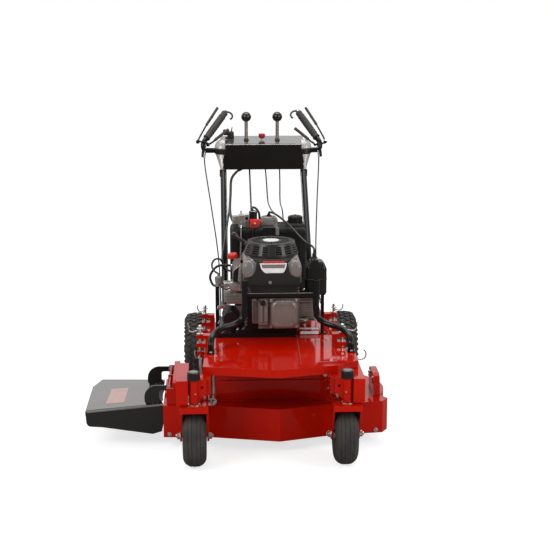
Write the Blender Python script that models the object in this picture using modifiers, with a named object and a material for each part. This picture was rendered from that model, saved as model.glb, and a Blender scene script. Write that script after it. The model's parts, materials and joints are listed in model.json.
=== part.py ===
# Walk-behind petrol lawn mower with a side-discharge deck, as separate solids on their own joints.
# Units are metres and +Z is up. The front faces -Y. While modelling, y = 0 is the caster kingpin line
# and x = 0 is the middle of the engine. Left and right are the operator's, who stands behind the
# machine, so the right side, with the grass chute, is at -X.
import bpy
import bmesh
import math
from mathutils import Matrix, Vector

for old in list(bpy.data.objects):
    bpy.data.objects.remove(old, do_unlink=True)

MODEL = "petrol_lawn_mower"
GAP = 0.0003

# Driving dimensions
caster_tyre_radius = 0.1145
caster_tyre_width = 0.088
caster_rim_radius = 0.045
caster_trail = 0.060
kingpin_right_x = -0.312
kingpin_left_x = 0.252
kingpin_radius = 0.012
kingpin_clearance = 0.0006
housing_radius = 0.018
housing_height = 0.1115
fork_wall = 0.006
fork_side_clearance = 0.003
fork_top_clearance = 0.016
fork_plate = 0.0105
axle_bolt_radius = 0.0065

wheelbase = 1.094
drive_tyre_radius = 0.165
drive_tyre_width = 0.133
drive_rim_radius = 0.0635
drive_track = 0.636
drive_centre_x = 0.016
axle_radius = 0.0125
running_clearance = 0.0007
wheel_pulley_radius = 0.095
pulley_width = 0.020

frame_top_z = 0.383
frame_lip = 0.031
frame_sheet = 0.004
frame_tip_y = 0.0
frame_rear_y = 1.020
axle_plate_thickness = 0.006

deck_bottom_z = 0.050
deck_depth = 0.128
deck_sheet = 0.004
deck_right_x = -0.435
spindle_right = Vector((-0.195, 0.490))
spindle_left = Vector((0.215, 0.450))
deck_ring_radius = 0.230
blade_length = 0.400
blade_width = 0.058
blade_thickness = 0.005
spindle_radius = 0.0125
deck_pulley_radius = 0.060
boss_radius = 0.045
boss_height = 0.047

chute_length = 0.298
chute_depth = 0.325
chute_overhang = 0.008
chute_skew = 0.090
chute_corner = 0.095
chute_front_y = 0.262
chute_sheet = 0.005
chute_tilt = math.radians(5.0)
chute_hinge_x = -0.413
chute_hinge_height = 0.057
hinge_pin_radius = 0.005

crank_x = 0.0
crank_y = 0.600
base_plate = 0.019
guard_tube_radius = 0.0125
guard_top_z = 0.633
guard_y = 0.385
guard_bar_z = 0.574

handle_tube_radius = 0.0125
handle_half_width = 0.189
console_bottom_z = 0.934
console_height = 0.113
console_rise = 0.019
console_front_y = 1.440
console_depth = 0.200
console_lean = 0.020
console_sheet = 0.003
console_half_bottom = handle_half_width + 0.009
console_half_front = handle_half_width - 0.015
console_half_rear = handle_half_width + 0.010
knob_radius = 0.0215
lever_rod_radius = 0.005
lever_set_back = 0.120
lever_slot_half = 0.046
lever_slot_half_width = 0.009
grip_set_back = 0.060
grip_tip_set_back = 0.180
grip_rise = 0.118
grip_tip_rise = 0.247
grip_tube_rise = 0.084

# Values that follow from the driving dimensions
fork_half = caster_tyre_width / 2 + fork_side_clearance + fork_wall
fork_bottom_z = 2 * caster_tyre_radius + fork_top_clearance
fork_top_z = fork_bottom_z + fork_plate
housing_bottom_z = fork_top_z + 0.003
housing_top_z = housing_bottom_z + housing_height
frame_bottom_z = frame_top_z - frame_lip
plate_under_z = frame_top_z - frame_sheet
deck_top_z = deck_bottom_z + deck_depth
chute_hinge_z = deck_top_z + chute_hinge_height
drive_half = drive_track / 2
axle_plate_in = drive_half - drive_tyre_width / 2 - 0.0455
axle_plate_out = axle_plate_in + axle_plate_thickness
wheel_pulley_in = axle_plate_out + 0.003
engine_floor_z = frame_top_z + GAP
console_top_front_z = console_bottom_z + console_height
console_top_rear_z = console_top_front_z + console_rise
control_lever_y = console_front_y + lever_set_back
lever_pivot_z = console_bottom_z + 0.056
knob_z = console_bottom_z + 0.235
stop_head_z = console_top_rear_z + 0.002
stop_head_height = 0.016
stop_head_radius = 0.015
grip_tube_y = console_front_y + 0.055
grip_tube_z = console_bottom_z + grip_tube_rise
slot_low_z = console_bottom_z + 0.066
slot_high_z = console_top_rear_z + 0.134

parts = bpy.data.collections.new(MODEL)
cutters = bpy.data.collections.new("cutters")
bpy.context.scene.collection.children.link(parts)
bpy.context.scene.collection.children.link(cutters)
cutters.hide_render = True


def finish(name, colour, roughness, metallic=0.0):
    # A plain principled material, made once for each name
    found = bpy.data.materials.get(name)
    if found:
        return found
    made = bpy.data.materials.new(name)
    made.use_nodes = True
    shader = made.node_tree.nodes["Principled BSDF"]
    shader.inputs["Base Color"].default_value = (*colour, 1.0)
    shader.inputs["Roughness"].default_value = roughness
    shader.inputs["Metallic"].default_value = metallic
    made.diffuse_color = (*colour, 1.0)
    return made


def red():
    return finish("red_paint", (0.50, 0.010, 0.004), 0.25)


def black():
    return finish("black_powder_coat", (0.012, 0.012, 0.013), 0.35)


def plastic():
    return finish("engine_plastic", (0.045, 0.041, 0.039), 0.5)


def alloy():
    return finish("cast_aluminium", (0.42, 0.40, 0.39), 0.45, 1.0)


def steel():
    return finish("zinc_steel", (0.62, 0.61, 0.59), 0.3, 1.0)


def rubber():
    return finish("rubber", (0.030, 0.029, 0.028), 0.8)


def as_object(name, mesh):
    made = bpy.data.objects.new(name, mesh)
    parts.objects.link(made)
    return made


def from_bmesh(name, shape):
    bmesh.ops.recalc_face_normals(shape, faces=shape.faces)
    mesh = bpy.data.meshes.new(name)
    shape.to_mesh(mesh)
    shape.free()
    return as_object(name, mesh)


def box(name, low, high):
    low = Vector(low)
    high = Vector(high)
    shape = bmesh.new()
    bmesh.ops.create_cube(shape, size=1.0)
    bmesh.ops.scale(shape, vec=high - low, verts=shape.verts)
    bmesh.ops.translate(shape, vec=(high + low) / 2, verts=shape.verts)
    return from_bmesh(name, shape)


def rod(name, start, end, radius, sides=12, end_radius=None):
    # A straight round bar between two points, or a cone with end_radius
    start = Vector(start)
    end = Vector(end)
    shape = bmesh.new()
    bmesh.ops.create_cone(
        shape,
        cap_ends=True,
        segments=sides,
        radius1=radius,
        radius2=radius if end_radius is None else end_radius,
        depth=(end - start).length,
    )
    turn = (end - start).to_track_quat("Z", "Y").to_matrix().to_4x4()
    bmesh.ops.transform(shape, matrix=Matrix.Translation((start + end) / 2) @ turn, verts=shape.verts)
    return from_bmesh(name, shape)


def ball(name, centre, radius):
    shape = bmesh.new()
    bmesh.ops.create_uvsphere(shape, u_segments=14, v_segments=8, radius=radius)
    bmesh.ops.translate(shape, vec=centre, verts=shape.verts)
    return from_bmesh(name, shape)


def turned(name, profile, centre, steps=32, along_x=False, ring=True):
    # profile: (radius, height) points down the outer side; ring joins the last point to the first
    mesh = bpy.data.meshes.new(name)
    points = [(radius, 0.0, height) for radius, height in profile]
    edges = [(i, i + 1) for i in range(len(points) - 1)]
    if ring:
        edges.append((len(points) - 1, 0))
    mesh.from_pydata(points, edges, [])
    made = as_object(name, mesh)
    screw = made.modifiers.new("turn", "SCREW")
    screw.axis = "Z"
    screw.steps = steps
    screw.render_steps = steps
    screw.use_merge_vertices = True
    screw.merge_threshold = 0.00001
    screw.use_smooth_shade = True
    made.location = centre
    if along_x:
        made.rotation_euler = (0.0, math.pi / 2, 0.0)
    return applied(made)


def applied(source):
    # The evaluated form as a plain mesh in world coordinates, its caps welded
    bpy.context.view_layer.update()
    evaluated = source.evaluated_get(bpy.context.evaluated_depsgraph_get())
    mesh = bpy.data.meshes.new_from_object(evaluated)
    mesh.transform(source.matrix_world)
    shape = bmesh.new()
    shape.from_mesh(mesh)
    bmesh.ops.remove_doubles(shape, verts=shape.verts, dist=0.00001)
    bmesh.ops.recalc_face_normals(shape, faces=shape.faces)
    shape.to_mesh(mesh)
    shape.free()
    name = source.name
    bpy.data.objects.remove(source, do_unlink=True)
    return as_object(name, mesh)


def tube(name, points, radius, resolution=2):
    line = bpy.data.curves.new(name, "CURVE")
    line.dimensions = "3D"
    line.bevel_depth = radius
    line.bevel_resolution = resolution
    line.use_fill_caps = True
    spline = line.splines.new("POLY")
    spline.points.add(len(points) - 1)
    for spot, point in zip(spline.points, points):
        spot.co = (*point, 1.0)
    return applied(as_object(name, line))


def smooth_route(points, per_span=5):
    # A smooth line through a cable's chosen points
    ends = [Vector(p) for p in points]
    padded = [2 * ends[0] - ends[1], *ends, 2 * ends[-1] - ends[-2]]
    route = []
    for a, b, c, d in zip(padded, padded[1:], padded[2:], padded[3:]):
        for step in range(per_span):
            t = step / per_span
            route.append(
                0.5 * (2 * b + (c - a) * t + (2 * a - 5 * b + 4 * c - d) * t**2
                       + (3 * b - a - 3 * c + d) * t**3)
            )
    route.append(ends[-1])
    return route


def rounded_route(points, radius, per_bend=4):
    # A bent tube's centre line: straight runs with each corner rounded
    points = [Vector(p) for p in points]
    route = [points[0]]
    for before, corner, after in zip(points, points[1:], points[2:]):
        reach = min(radius, (before - corner).length / 2.1, (after - corner).length / 2.1)
        start = corner + (before - corner).normalized() * reach
        end = corner + (after - corner).normalized() * reach
        for step in range(per_bend + 1):
            t = step / per_bend
            route.append((1 - t) ** 2 * start + 2 * t * (1 - t) * corner + t**2 * end)
    route.append(points[-1])
    return route


def plate(name, outline, thickness, plane="XY", at=0.0, holes=()):
    # A flat outline with round holes (u, v, radius), thick from at to at + thickness
    flat = bpy.data.curves.new(name, "CURVE")
    flat.dimensions = "2D"
    flat.fill_mode = "BOTH"
    flat.extrude = thickness / 2
    loops = [outline]
    for u, v, radius in holes:
        loops.append([(u + radius * math.cos(a), v + radius * math.sin(a)) for a in turn_steps(16)])
    for loop in loops:
        spline = flat.splines.new("POLY")
        spline.points.add(len(loop) - 1)
        spline.use_cyclic_u = True
        for spot, (u, v) in zip(spline.points, loop):
            spot.co = (u, v, 0.0, 1.0)
    made = as_object(name, flat)
    middle = at + thickness / 2
    if plane == "XY":
        made.location = (0.0, 0.0, middle)
    elif plane == "XZ":
        made.rotation_euler = (math.pi / 2, 0.0, 0.0)
        made.location = (0.0, middle, 0.0)
    else:
        made.rotation_euler = (math.pi / 2, 0.0, math.pi / 2)
        made.location = (middle, 0.0, 0.0)
    return applied(made)


def turn_steps(count):
    return [2 * math.pi * i / count for i in range(count)]


def arc(centre, radius, start, end, count):
    # Points on an arc, angles in degrees
    found = []
    for i in range(count + 1):
        angle = math.radians(start + (end - start) * i / count)
        found.append((centre[0] + radius * math.cos(angle), centre[1] + radius * math.sin(angle)))
    return found


def rounded_outline(low, high, radius, count=4):
    (u0, v0), (u1, v1) = low, high
    return (
        arc((u1 - radius, v0 + radius), radius, -90, 0, count)
        + arc((u1 - radius, v1 - radius), radius, 0, 90, count)
        + arc((u0 + radius, v1 - radius), radius, 90, 180, count)
        + arc((u0 + radius, v0 + radius), radius, 180, 270, count)
    )


def combine(body, others, operation):
    for other in others:
        step = body.modifiers.new(operation.lower(), "BOOLEAN")
        step.operation = operation
        step.solver = "EXACT"
        step.object = other
    made = applied(body)
    for other in others:
        parts.objects.unlink(other)
        cutters.objects.link(other)
        other.name = "tool_" + made.name
        other.hide_render = True
        other.display_type = "WIRE"
    return made


def join(body, *others):
    return combine(body, others, "UNION")


def cut(body, *others):
    return combine(body, others, "DIFFERENCE")


def bevelled(body, width, segments=2, angle=40.0):
    step = body.modifiers.new("edges", "BEVEL")
    step.width = width
    step.segments = segments
    step.limit_method = "ANGLE"
    step.angle_limit = math.radians(angle)
    return applied(body)


made_parts = []


def part(made, name, material, pivot=(0.0, 0.0, 0.0)):
    # Names the node, gives it its material and puts its origin on its joint
    pivot = Vector(pivot)
    made.name = name
    made.data.name = name
    made.data.transform(Matrix.Translation(-pivot))
    made.location = pivot
    made.data.materials.clear()
    made.data.materials.append(material)
    made.data.shade_smooth()
    made.data.set_sharp_from_angle(angle=math.radians(35.0))
    made_parts.append(made)
    return made


SIDES = {"right": -1.0, "left": 1.0}


# Carrier frame

hanger_radius = 0.006
hanger_hole = 0.0010
hanger_front_y = 0.350
hanger_rear_y = 0.680
hanger_front_x = (-0.291, 0.266)
hanger_rear_x = (-0.274, 0.264)
hanger_bracket_height = 0.046
hanger_top_z = 0.462
hanger_cross_z = deck_top_z + 0.022
waist_right_x = hanger_rear_x[0] + 0.016
waist_left_x = hanger_rear_x[1] - 0.020
waist_start_y = hanger_rear_y + 0.020
waist_end_y = hanger_rear_y + 0.080


def frame_outline(inset):
    # Seen from above: a V at the front, wide beside the guard, narrow between the drive wheels
    side = axle_plate_in - GAP - inset
    rear_right = drive_centre_x - side
    rear_left = drive_centre_x + side
    i = inset
    return [
        (0.0, frame_tip_y + i * 1.02),
        (0.225 - i * 0.3, 0.058 + i),
        (0.305 - i, 0.120 + i * 0.4),
        (0.305 - i, 0.290 - i),
        (0.250 - i, 0.310 - i),
        (waist_left_x - i, waist_start_y),
        (rear_left, waist_end_y),
        (rear_left, frame_rear_y - i),
        (rear_right, frame_rear_y - i),
        (rear_right, waist_end_y),
        (waist_right_x + i, waist_start_y),
        (-0.276 + i, 0.130 + i * 0.4),
        (-0.279 + i * 0.3, 0.058 + i),
    ]


def hanger_spots():
    spots = [(x, hanger_front_y) for x in hanger_front_x]
    spots += [(x, hanger_rear_y) for x in hanger_rear_x]
    return spots


def make_carrier_frame():
    body = plate("frame", frame_outline(0.0), frame_lip, at=frame_bottom_z)
    hollow = plate("hollow", frame_outline(frame_sheet), frame_lip, at=frame_bottom_z - frame_sheet)
    shaft_hole = rod("hole", (crank_x, crank_y, 0.3), (crank_x, crank_y, 0.5), axle_radius + 0.008)
    body = cut(body, hollow, shaft_hole)
    bulkhead = box("bulkhead", (-0.240, 0.300, 0.245), (0.210, 0.304, plate_under_z + 0.001))
    brackets = [bulkhead]
    for x, y in hanger_spots():
        inward = 0.040 if x < 0 else -0.040
        outward = -0.014 if x < 0 else 0.014
        low_x, high_x = sorted((x + inward, x + outward))
        brackets.append(
            box("bracket", (low_x, y - 0.018, plate_under_z + 0.001),
                (high_x, y + 0.018, frame_top_z + hanger_bracket_height))
        )
    body = join(body, *brackets)
    holes = []
    for x, y in hanger_spots():
        holes.append(rod("hole", (x, y, 0.30), (x, y, 0.50), hanger_radius + hanger_hole, 12))
        holes.append(
            box("slot", (x - 0.020, y - 0.030, frame_top_z + 0.014),
                (x + 0.020, y + 0.030, frame_top_z + hanger_bracket_height - 0.014))
        )
    body = cut(body, *holes)
    part(body, "carrier_frame", red())


def make_caster_housing(side, x):
    sign = SIDES[side]
    post = rod("post", (x, 0, housing_bottom_z), (x, 0, housing_top_z), housing_radius, 24)
    low_x, high_x = sorted((x + sign * (housing_radius + 0.003), x + sign * 0.064))
    block = box("block", (low_x, -0.020, housing_bottom_z), (high_x, 0.220, frame_bottom_z - GAP))
    low_x, high_x = sorted((x + sign * 0.040, x - sign * 0.062))
    arm = box("arm", (low_x, 0.008, housing_bottom_z + 0.030), (high_x, 0.070, frame_bottom_z - GAP))
    inner = x - sign * (housing_radius - 0.004)
    outer = x - sign * 0.046
    top = frame_bottom_z - GAP
    gusset = plate(
        "gusset",
        [(inner, top - 0.085), (inner, top), (outer, top), (outer, top - 0.050)],
        0.008,
        "XZ",
        -0.004,
        holes=[((inner + outer) / 2, top - 0.030, 0.006)],
    )
    bore = rod("bore", (x, 0, 0.2), (x, 0, 0.5), kingpin_radius + kingpin_clearance, 24)
    body = cut(join(post, block, arm, gusset), bore)
    part(body, side + "_caster_housing", red())


def make_axle_plate(side):
    sign = SIDES[side]
    inner = drive_centre_x + sign * axle_plate_in
    outer = drive_centre_x + sign * axle_plate_out
    low_x = min(inner, outer)
    outline = [
        (0.780, frame_top_z),
        (0.780, 0.300),
        (0.860, 0.240),
        (wheelbase - 0.050, drive_tyre_radius - 0.030),
        *arc((wheelbase, drive_tyre_radius), 0.045, 230, 340, 6),
        (wheelbase + 0.055, 0.300),
        (frame_rear_y + 0.020, frame_top_z),
    ]
    holes = [(jackshaft_y, jackshaft_z, jackshaft_radius + running_clearance)]
    body = plate("axle plate", outline, axle_plate_thickness, "YZ", low_x, holes)
    tip = drive_centre_x + sign * (drive_half + drive_tyre_width / 2 + 0.006)
    stub = rod("stub", (inner + sign * 0.002, wheelbase, drive_tyre_radius),
               (tip, wheelbase, drive_tyre_radius), axle_radius, 20)
    part(join(body, stub), side + "_axle_plate", red())


def make_engine_guard():
    feet = {"right": (-0.249, -0.115), "left": (0.290, 0.166)}
    legs = []
    for foot_x, top_x in feet.values():
        step_x = top_x + (foot_x - top_x) * 0.30
        path = rounded_route(
            [
                (foot_x, 0.245, frame_top_z + 0.0045),
                (foot_x, 0.245, 0.434),
                (step_x, 0.362, 0.462),
                (top_x, guard_y, 0.475),
                (top_x, guard_y, guard_top_z),
            ],
            0.030,
        )
        leg = tube("leg", path, guard_tube_radius)
        foot_top_z = engine_floor_z + 0.006
        foot = box("foot", (foot_x - 0.015, 0.222, engine_floor_z), (foot_x + 0.015, 0.268, foot_top_z))
        legs += [leg, foot]
    bar_ends = [(feet[side][1], guard_y, guard_bar_z) for side in ("right", "left")]
    bar = rod("bar", *bar_ends, guard_tube_radius - 0.001, 8)
    part(join(legs[0], *legs[1:], bar), "engine_guard", black())


# Casters

def make_caster(side, x):
    inner = fork_half - 0.001
    plate_top = box("top", (x - inner, -0.046, fork_bottom_z), (x + inner, 0.112, fork_top_z))
    inner -= 0.001
    lip = box("lip", (x - inner, -0.0465, fork_bottom_z - 0.010), (x + inner, -0.042, fork_top_z - 0.001))
    leg_outline = [
        (-0.040, fork_top_z - 0.0015),
        *arc((caster_trail, caster_tyre_radius), 0.021, 190, 350, 6),
        (0.106, fork_top_z - 0.0015),
    ]
    legs = []
    for low_x in (x - fork_half, x + fork_half - fork_wall):
        legs.append(plate("leg", leg_outline, fork_wall, "YZ", low_x))
    stem = rod("stem", (x, 0, fork_top_z - 0.002), (x, 0, housing_top_z - 0.001), kingpin_radius, 20)
    washer_ends = [(x, 0, fork_top_z - 0.002), (x, 0, housing_bottom_z - GAP)]
    washer = rod("washer", *washer_ends, housing_radius - 0.001, 20)
    bolt_ends = [(x + reach, caster_trail, caster_tyre_radius) for reach in (-0.067, 0.067)]
    bolt = rod("bolt", *bolt_ends, axle_bolt_radius, 12)
    heads = []
    for sign in (-1, 1):
        start = x + sign * (fork_half - 0.001)
        heads.append(rod("head", (start, caster_trail, caster_tyre_radius),
                         (start + sign * 0.009, caster_trail, caster_tyre_radius), 0.011, 6))
    fork = join(plate_top, lip, *legs, stem, washer, bolt, *heads)
    part(fork, side + "_caster_fork", red(), (x, 0, housing_bottom_z))
    centre = (x, caster_trail, caster_tyre_radius)
    hub = fork_half - fork_wall - 0.001
    half = caster_tyre_width / 2
    bore = axle_bolt_radius + running_clearance
    well = caster_rim_radius - 0.008
    seat = caster_rim_radius - GAP
    rim = [
        (0.018, hub), (0.018, 0.012), (well, 0.008), (seat, half - 0.016), (seat, 0.016 - half),
        (well, -0.008), (0.018, -0.012), (0.018, -hub), (bore, -hub), (bore, hub),
    ]
    part(turned("rim", rim, centre, 16, True), side + "_caster_rim", alloy(), centre)
    shoulder = caster_tyre_radius - 0.020
    tyre = [(caster_rim_radius, half - 0.012), (shoulder - 0.022, half), (shoulder, half - 0.002),
            (caster_tyre_radius - 0.008, half - 0.012), (caster_tyre_radius, half - 0.028),
            (caster_tyre_radius, 0.028 - half), (caster_tyre_radius - 0.008, 0.012 - half),
            (shoulder, 0.002 - half), (shoulder - 0.022, -half), (caster_rim_radius, 0.012 - half)]
    part(turned("tyre", tyre, centre, 28, True), side + "_caster_tyre", rubber(), centre)


# Drive wheels, jackshaft and gearbox

jackshaft_y = 0.900
jackshaft_z = 0.335
jackshaft_radius = 0.0095
jack_pulley_radius = 0.025


def make_drive_wheel(side):
    sign = SIDES[side]
    x = drive_centre_x + sign * drive_half
    centre = (x, wheelbase, drive_tyre_radius)
    half = drive_tyre_width / 2
    bore = axle_radius + running_clearance
    # Heights along the axle, with the belt pulley on the inner side of the wheel
    inner = sign * (wheel_pulley_in - drive_half)
    pulley = inner + sign * pulley_width
    barrel = drive_rim_radius - GAP
    outer_end = sign * (half - 0.004)
    profile = [
        (wheel_pulley_radius, inner),
        (wheel_pulley_radius - 0.008, inner + sign * 0.010),
        (wheel_pulley_radius, pulley),
        (0.030, pulley),
        (0.030, sign * -0.030),
        (barrel - 0.006, sign * -0.030),
        (barrel, -sign * (half - 0.020)),
        (barrel, sign * (half - 0.020)),
        (barrel - 0.006, sign * 0.046),
        (0.036, sign * 0.012),
        (0.024, sign * 0.016),
        (0.024, outer_end),
        (bore, outer_end),
        (bore, inner),
    ]
    part(turned("rim", profile, centre, 24, True), side + "_drive_rim", steel(), centre)
    tread = drive_tyre_radius
    bead = drive_rim_radius
    tyre = [
        (bead, half - 0.016), (bead + 0.030, half), (tread - 0.030, half), (tread - 0.012, half - 0.004),
        (tread, half - 0.014), (tread, 0.014 - half), (tread - 0.012, 0.004 - half),
        (tread - 0.030, -half), (bead + 0.030, -half), (bead, 0.016 - half),
    ]
    part(turned("tyre", tyre, centre, 36, True), side + "_drive_tyre", rubber(), centre)


def make_transmission():
    x = drive_centre_x
    body = box("gearbox", (x - 0.080, 0.800, 0.312), (x + 0.080, 0.960, plate_under_z - GAP))
    body = bevelled(body, 0.008)
    bore = rod("bore", (x - 0.1, jackshaft_y, jackshaft_z), (x + 0.1, jackshaft_y, jackshaft_z),
               jackshaft_radius + running_clearance)
    part(cut(body, bore), "transmission", alloy())
    shaft = rod("shaft", (x, 0.840, 0.305), (x, 0.840, 0.312 - GAP), jackshaft_radius)
    wheel = rod("wheel", (x, 0.840, 0.285), (x, 0.840, 0.306), 0.050, 32)
    part(join(wheel, shaft), "transmission_pulley", steel(), (x, 0.840, 0.285))
    reach = wheel_pulley_in + pulley_width
    spindle = rod("spindle", (x - reach, jackshaft_y, jackshaft_z), (x + reach, jackshaft_y, jackshaft_z),
                  jackshaft_radius)
    ends = []
    for sign in (-1, 1):
        ends.append(rod("end", (x + sign * wheel_pulley_in, jackshaft_y, jackshaft_z),
                        (x + sign * (reach + 0.001), jackshaft_y, jackshaft_z), jack_pulley_radius, 24))
    part(join(spindle, *ends), "jackshaft", steel(), (x, jackshaft_y, jackshaft_z))


# Engine

block_low = Vector((-0.105, 0.470, 0.0))
block_high = Vector((0.100, 0.730, 0.600))
blower_low = (-0.124, 0.455)
blower_high = (0.115, 0.720)
blower_top_z = 0.715
recoil_base_radius = 0.109
recoil_top_radius = 0.095
recoil_height = 0.042
deck_lift = 0.060
crank_end_z = deck_top_z + deck_lift + 0.014
blade_drive_radius = 0.040
gearbox_drive_radius = 0.030


def make_engine():
    base = plate(
        "base",
        [(-0.230, 0.330), (0.000, 0.345), (0.092, 0.440), (0.092, 0.745), (-0.230, 0.745)],
        base_plate,
        at=engine_floor_z,
    )
    case = box("case", (block_low.x, block_low.y, engine_floor_z + 0.010), block_high)
    socket = rod("socket", (crank_x, crank_y, 0.35), (crank_x, crank_y, 0.430), axle_radius + 0.001)
    part(cut(join(base, bevelled(case, 0.010)), socket), "engine_block", black())

    head = bevelled(box("head", (-0.060, 0.425, 0.425), (0.105, block_low.y - GAP, 0.565)), 0.006)
    pushrods = bevelled(box("pushrods", (-0.085, 0.400, 0.445), (-0.0205, block_low.y - GAP, 0.552)), 0.008)
    part(join(head, pushrods), "cylinder_head", alloy())
    cover = bevelled(box("cover", (-0.019, 0.388, 0.430), (0.098, 0.425 - GAP, 0.555)), 0.014, 3)
    part(cover, "rocker_cover", alloy())

    shroud = plate("shroud", rounded_outline(blower_low, blower_high, 0.045), 0.115 - GAP,
                   at=block_high.z + GAP)
    shroud = bevelled(shroud, 0.012, 2, 60)
    skirt = box("skirt", (-0.100, blower_low[1] + 0.004, 0.567), (0.095, block_low.y - GAP, 0.612))
    part(join(shroud, skirt), "blower_housing", plastic())

    shoulder = recoil_height - 0.002
    dome = [(0.0, recoil_height), (recoil_top_radius, shoulder), (recoil_base_radius - 0.004, 0.010),
            (recoil_base_radius, 0.0), (0.0, 0.0)]
    dome_at = (-0.003, 0.595, blower_top_z + GAP)
    part(turned("dome", dome, dome_at, 40, ring=False), "recoil_cover", black())
    grip_y = 0.690
    grip = bevelled(rod("grip", (-0.166, grip_y, 0.738), (-0.1245, grip_y, 0.738), 0.010, 12), 0.003)
    part(grip, "recoil_grip", black(), (-0.1245, grip_y, 0.738))

    carb = bevelled(box("carb", (-0.197, 0.530, 0.553), (block_low.x - GAP, 0.600, 0.597)), 0.006)
    part(carb, "carburettor", alloy())
    cleaner = bevelled(box("cleaner", (-0.160, 0.500, 0.602), (blower_low[0] - GAP, 0.680, 0.668)), 0.008)
    part(cleaner, "air_cleaner", plastic())
    can = box("can", (block_high.x + GAP, 0.480, 0.440), (0.172, 0.620, 0.530))
    part(bevelled(can, 0.014, 3), "muffler", alloy())

    canister = bevelled(box("canister", (0.134, 0.500, 0.549), (0.218, 0.600, 0.684)), 0.012)
    neck = rod("neck", (0.170, 0.550, 0.680), (0.170, 0.550, 0.694), 0.015)
    leg = box("leg", (0.195, 0.515, engine_floor_z), (0.209, 0.527, 0.560))
    part(join(canister, neck, leg), "vapour_canister", black())

    shaft = rod("shaft", (crank_x, crank_y, crank_end_z), (crank_x, crank_y, 0.428), axle_radius, 20)
    lower_z = crank_end_z + 0.006
    lower_end = (crank_x, crank_y, lower_z + pulley_width)
    lower = rod("lower", (crank_x, crank_y, lower_z), lower_end, blade_drive_radius, 32)
    upper_z = lower_z + pulley_width + 0.007
    upper_end = (crank_x, crank_y, upper_z + pulley_width)
    upper = rod("upper", (crank_x, crank_y, upper_z), upper_end, gearbox_drive_radius, 32)
    part(join(shaft, lower, upper), "crankshaft", steel(), (crank_x, crank_y, 0.300))


# Fuel tank, cap and hoses

tank_low = Vector((-0.164, 0.860, 0.480))
tank_high = Vector((0.161, 1.045, 0.757))
filler_x = 0.118
filler_y = 0.950
fuel_cap_radius = 0.032
hose_gap = 0.003


def make_fuel_system():
    tank = bevelled(box("tank", tank_low, tank_high), 0.022, 3)
    pieces = [rod("neck", (filler_x, filler_y, 0.745), (filler_x, filler_y, 0.770), 0.028, 24)]
    pieces.append(box("valve", (-0.033, 0.925, 0.745), (0.040, 0.985, 0.796)))
    for x in (-0.120, 0.120):
        pieces.append(box("leg", (x - 0.015, 0.900, engine_floor_z), (x + 0.015, 0.930, 0.500)))
    part(join(tank, *pieces), "fuel_tank", black())
    cap_z = 0.770 + GAP
    crown = fuel_cap_radius - 0.006
    cap = [(0.0, 0.028), (crown, 0.028), (fuel_cap_radius, 0.022), (fuel_cap_radius, 0.0), (0.0, 0.0)]
    cap_at = (filler_x, filler_y, cap_z)
    part(turned("cap", cap, cap_at, 28, ring=False), "fuel_cap", black(), cap_at)
    vapour = smooth_route([
        (0.004, 0.955, 0.796 + hose_gap), (0.008, 0.950, 0.812), (0.040, 0.915, 0.803), (0.090, 0.860, 0.766),
        (0.143, 0.750, 0.722), (0.166, 0.640, 0.722), (0.170, 0.565, 0.714), (0.170, 0.550, 0.694 + hose_gap),
    ], 4)
    part(tube("vapour hose", vapour, 0.0045), "vapour_hose", rubber())
    fuel = smooth_route([
        (-0.160 - hose_gap, 0.590, 0.650), (-0.180, 0.592, 0.654), (-0.222, 0.598, 0.648),
        (-0.250, 0.600, 0.610), (-0.240, 0.590, 0.575), (-0.212, 0.575, 0.570),
        (-0.197 - hose_gap, 0.570, 0.574),
    ], 4)
    part(tube("fuel hose", fuel, 0.0045), "fuel_hose", rubber())


# Handle frame, console and controls

def make_handle_frame():
    legs = []
    for sign in (-1, 1):
        path = rounded_route([
            (sign * handle_half_width, console_front_y + 0.004, console_bottom_z - 0.011),
            (sign * handle_half_width, 1.105, 0.600),
            (sign * handle_half_width, 1.000, engine_floor_z),
        ], 0.060)
        legs.append(tube("upright", path, handle_tube_radius, 3))
    left_end = (-handle_half_width, 1.028, 0.440)
    right_end = (handle_half_width, 1.028, 0.440)
    brace = rod("brace", left_end, right_end, handle_tube_radius - 0.001)
    body = join(legs[0], legs[1], brace)
    floor = box("floor", (-0.3, 0.9, 0.3), (0.3, 1.1, engine_floor_z))
    part(cut(body, floor), "handle_frame", black())


def console_half_width(y, z):
    # Half the console's width: it flares to the rear and downwards
    rear = (y - console_front_y) / console_depth
    up = (z - console_bottom_z) / console_height
    taper = (console_half_bottom - console_half_front) * up
    return console_half_bottom - taper * (1 - max(0.0, min(1.0, rear)))


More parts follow.
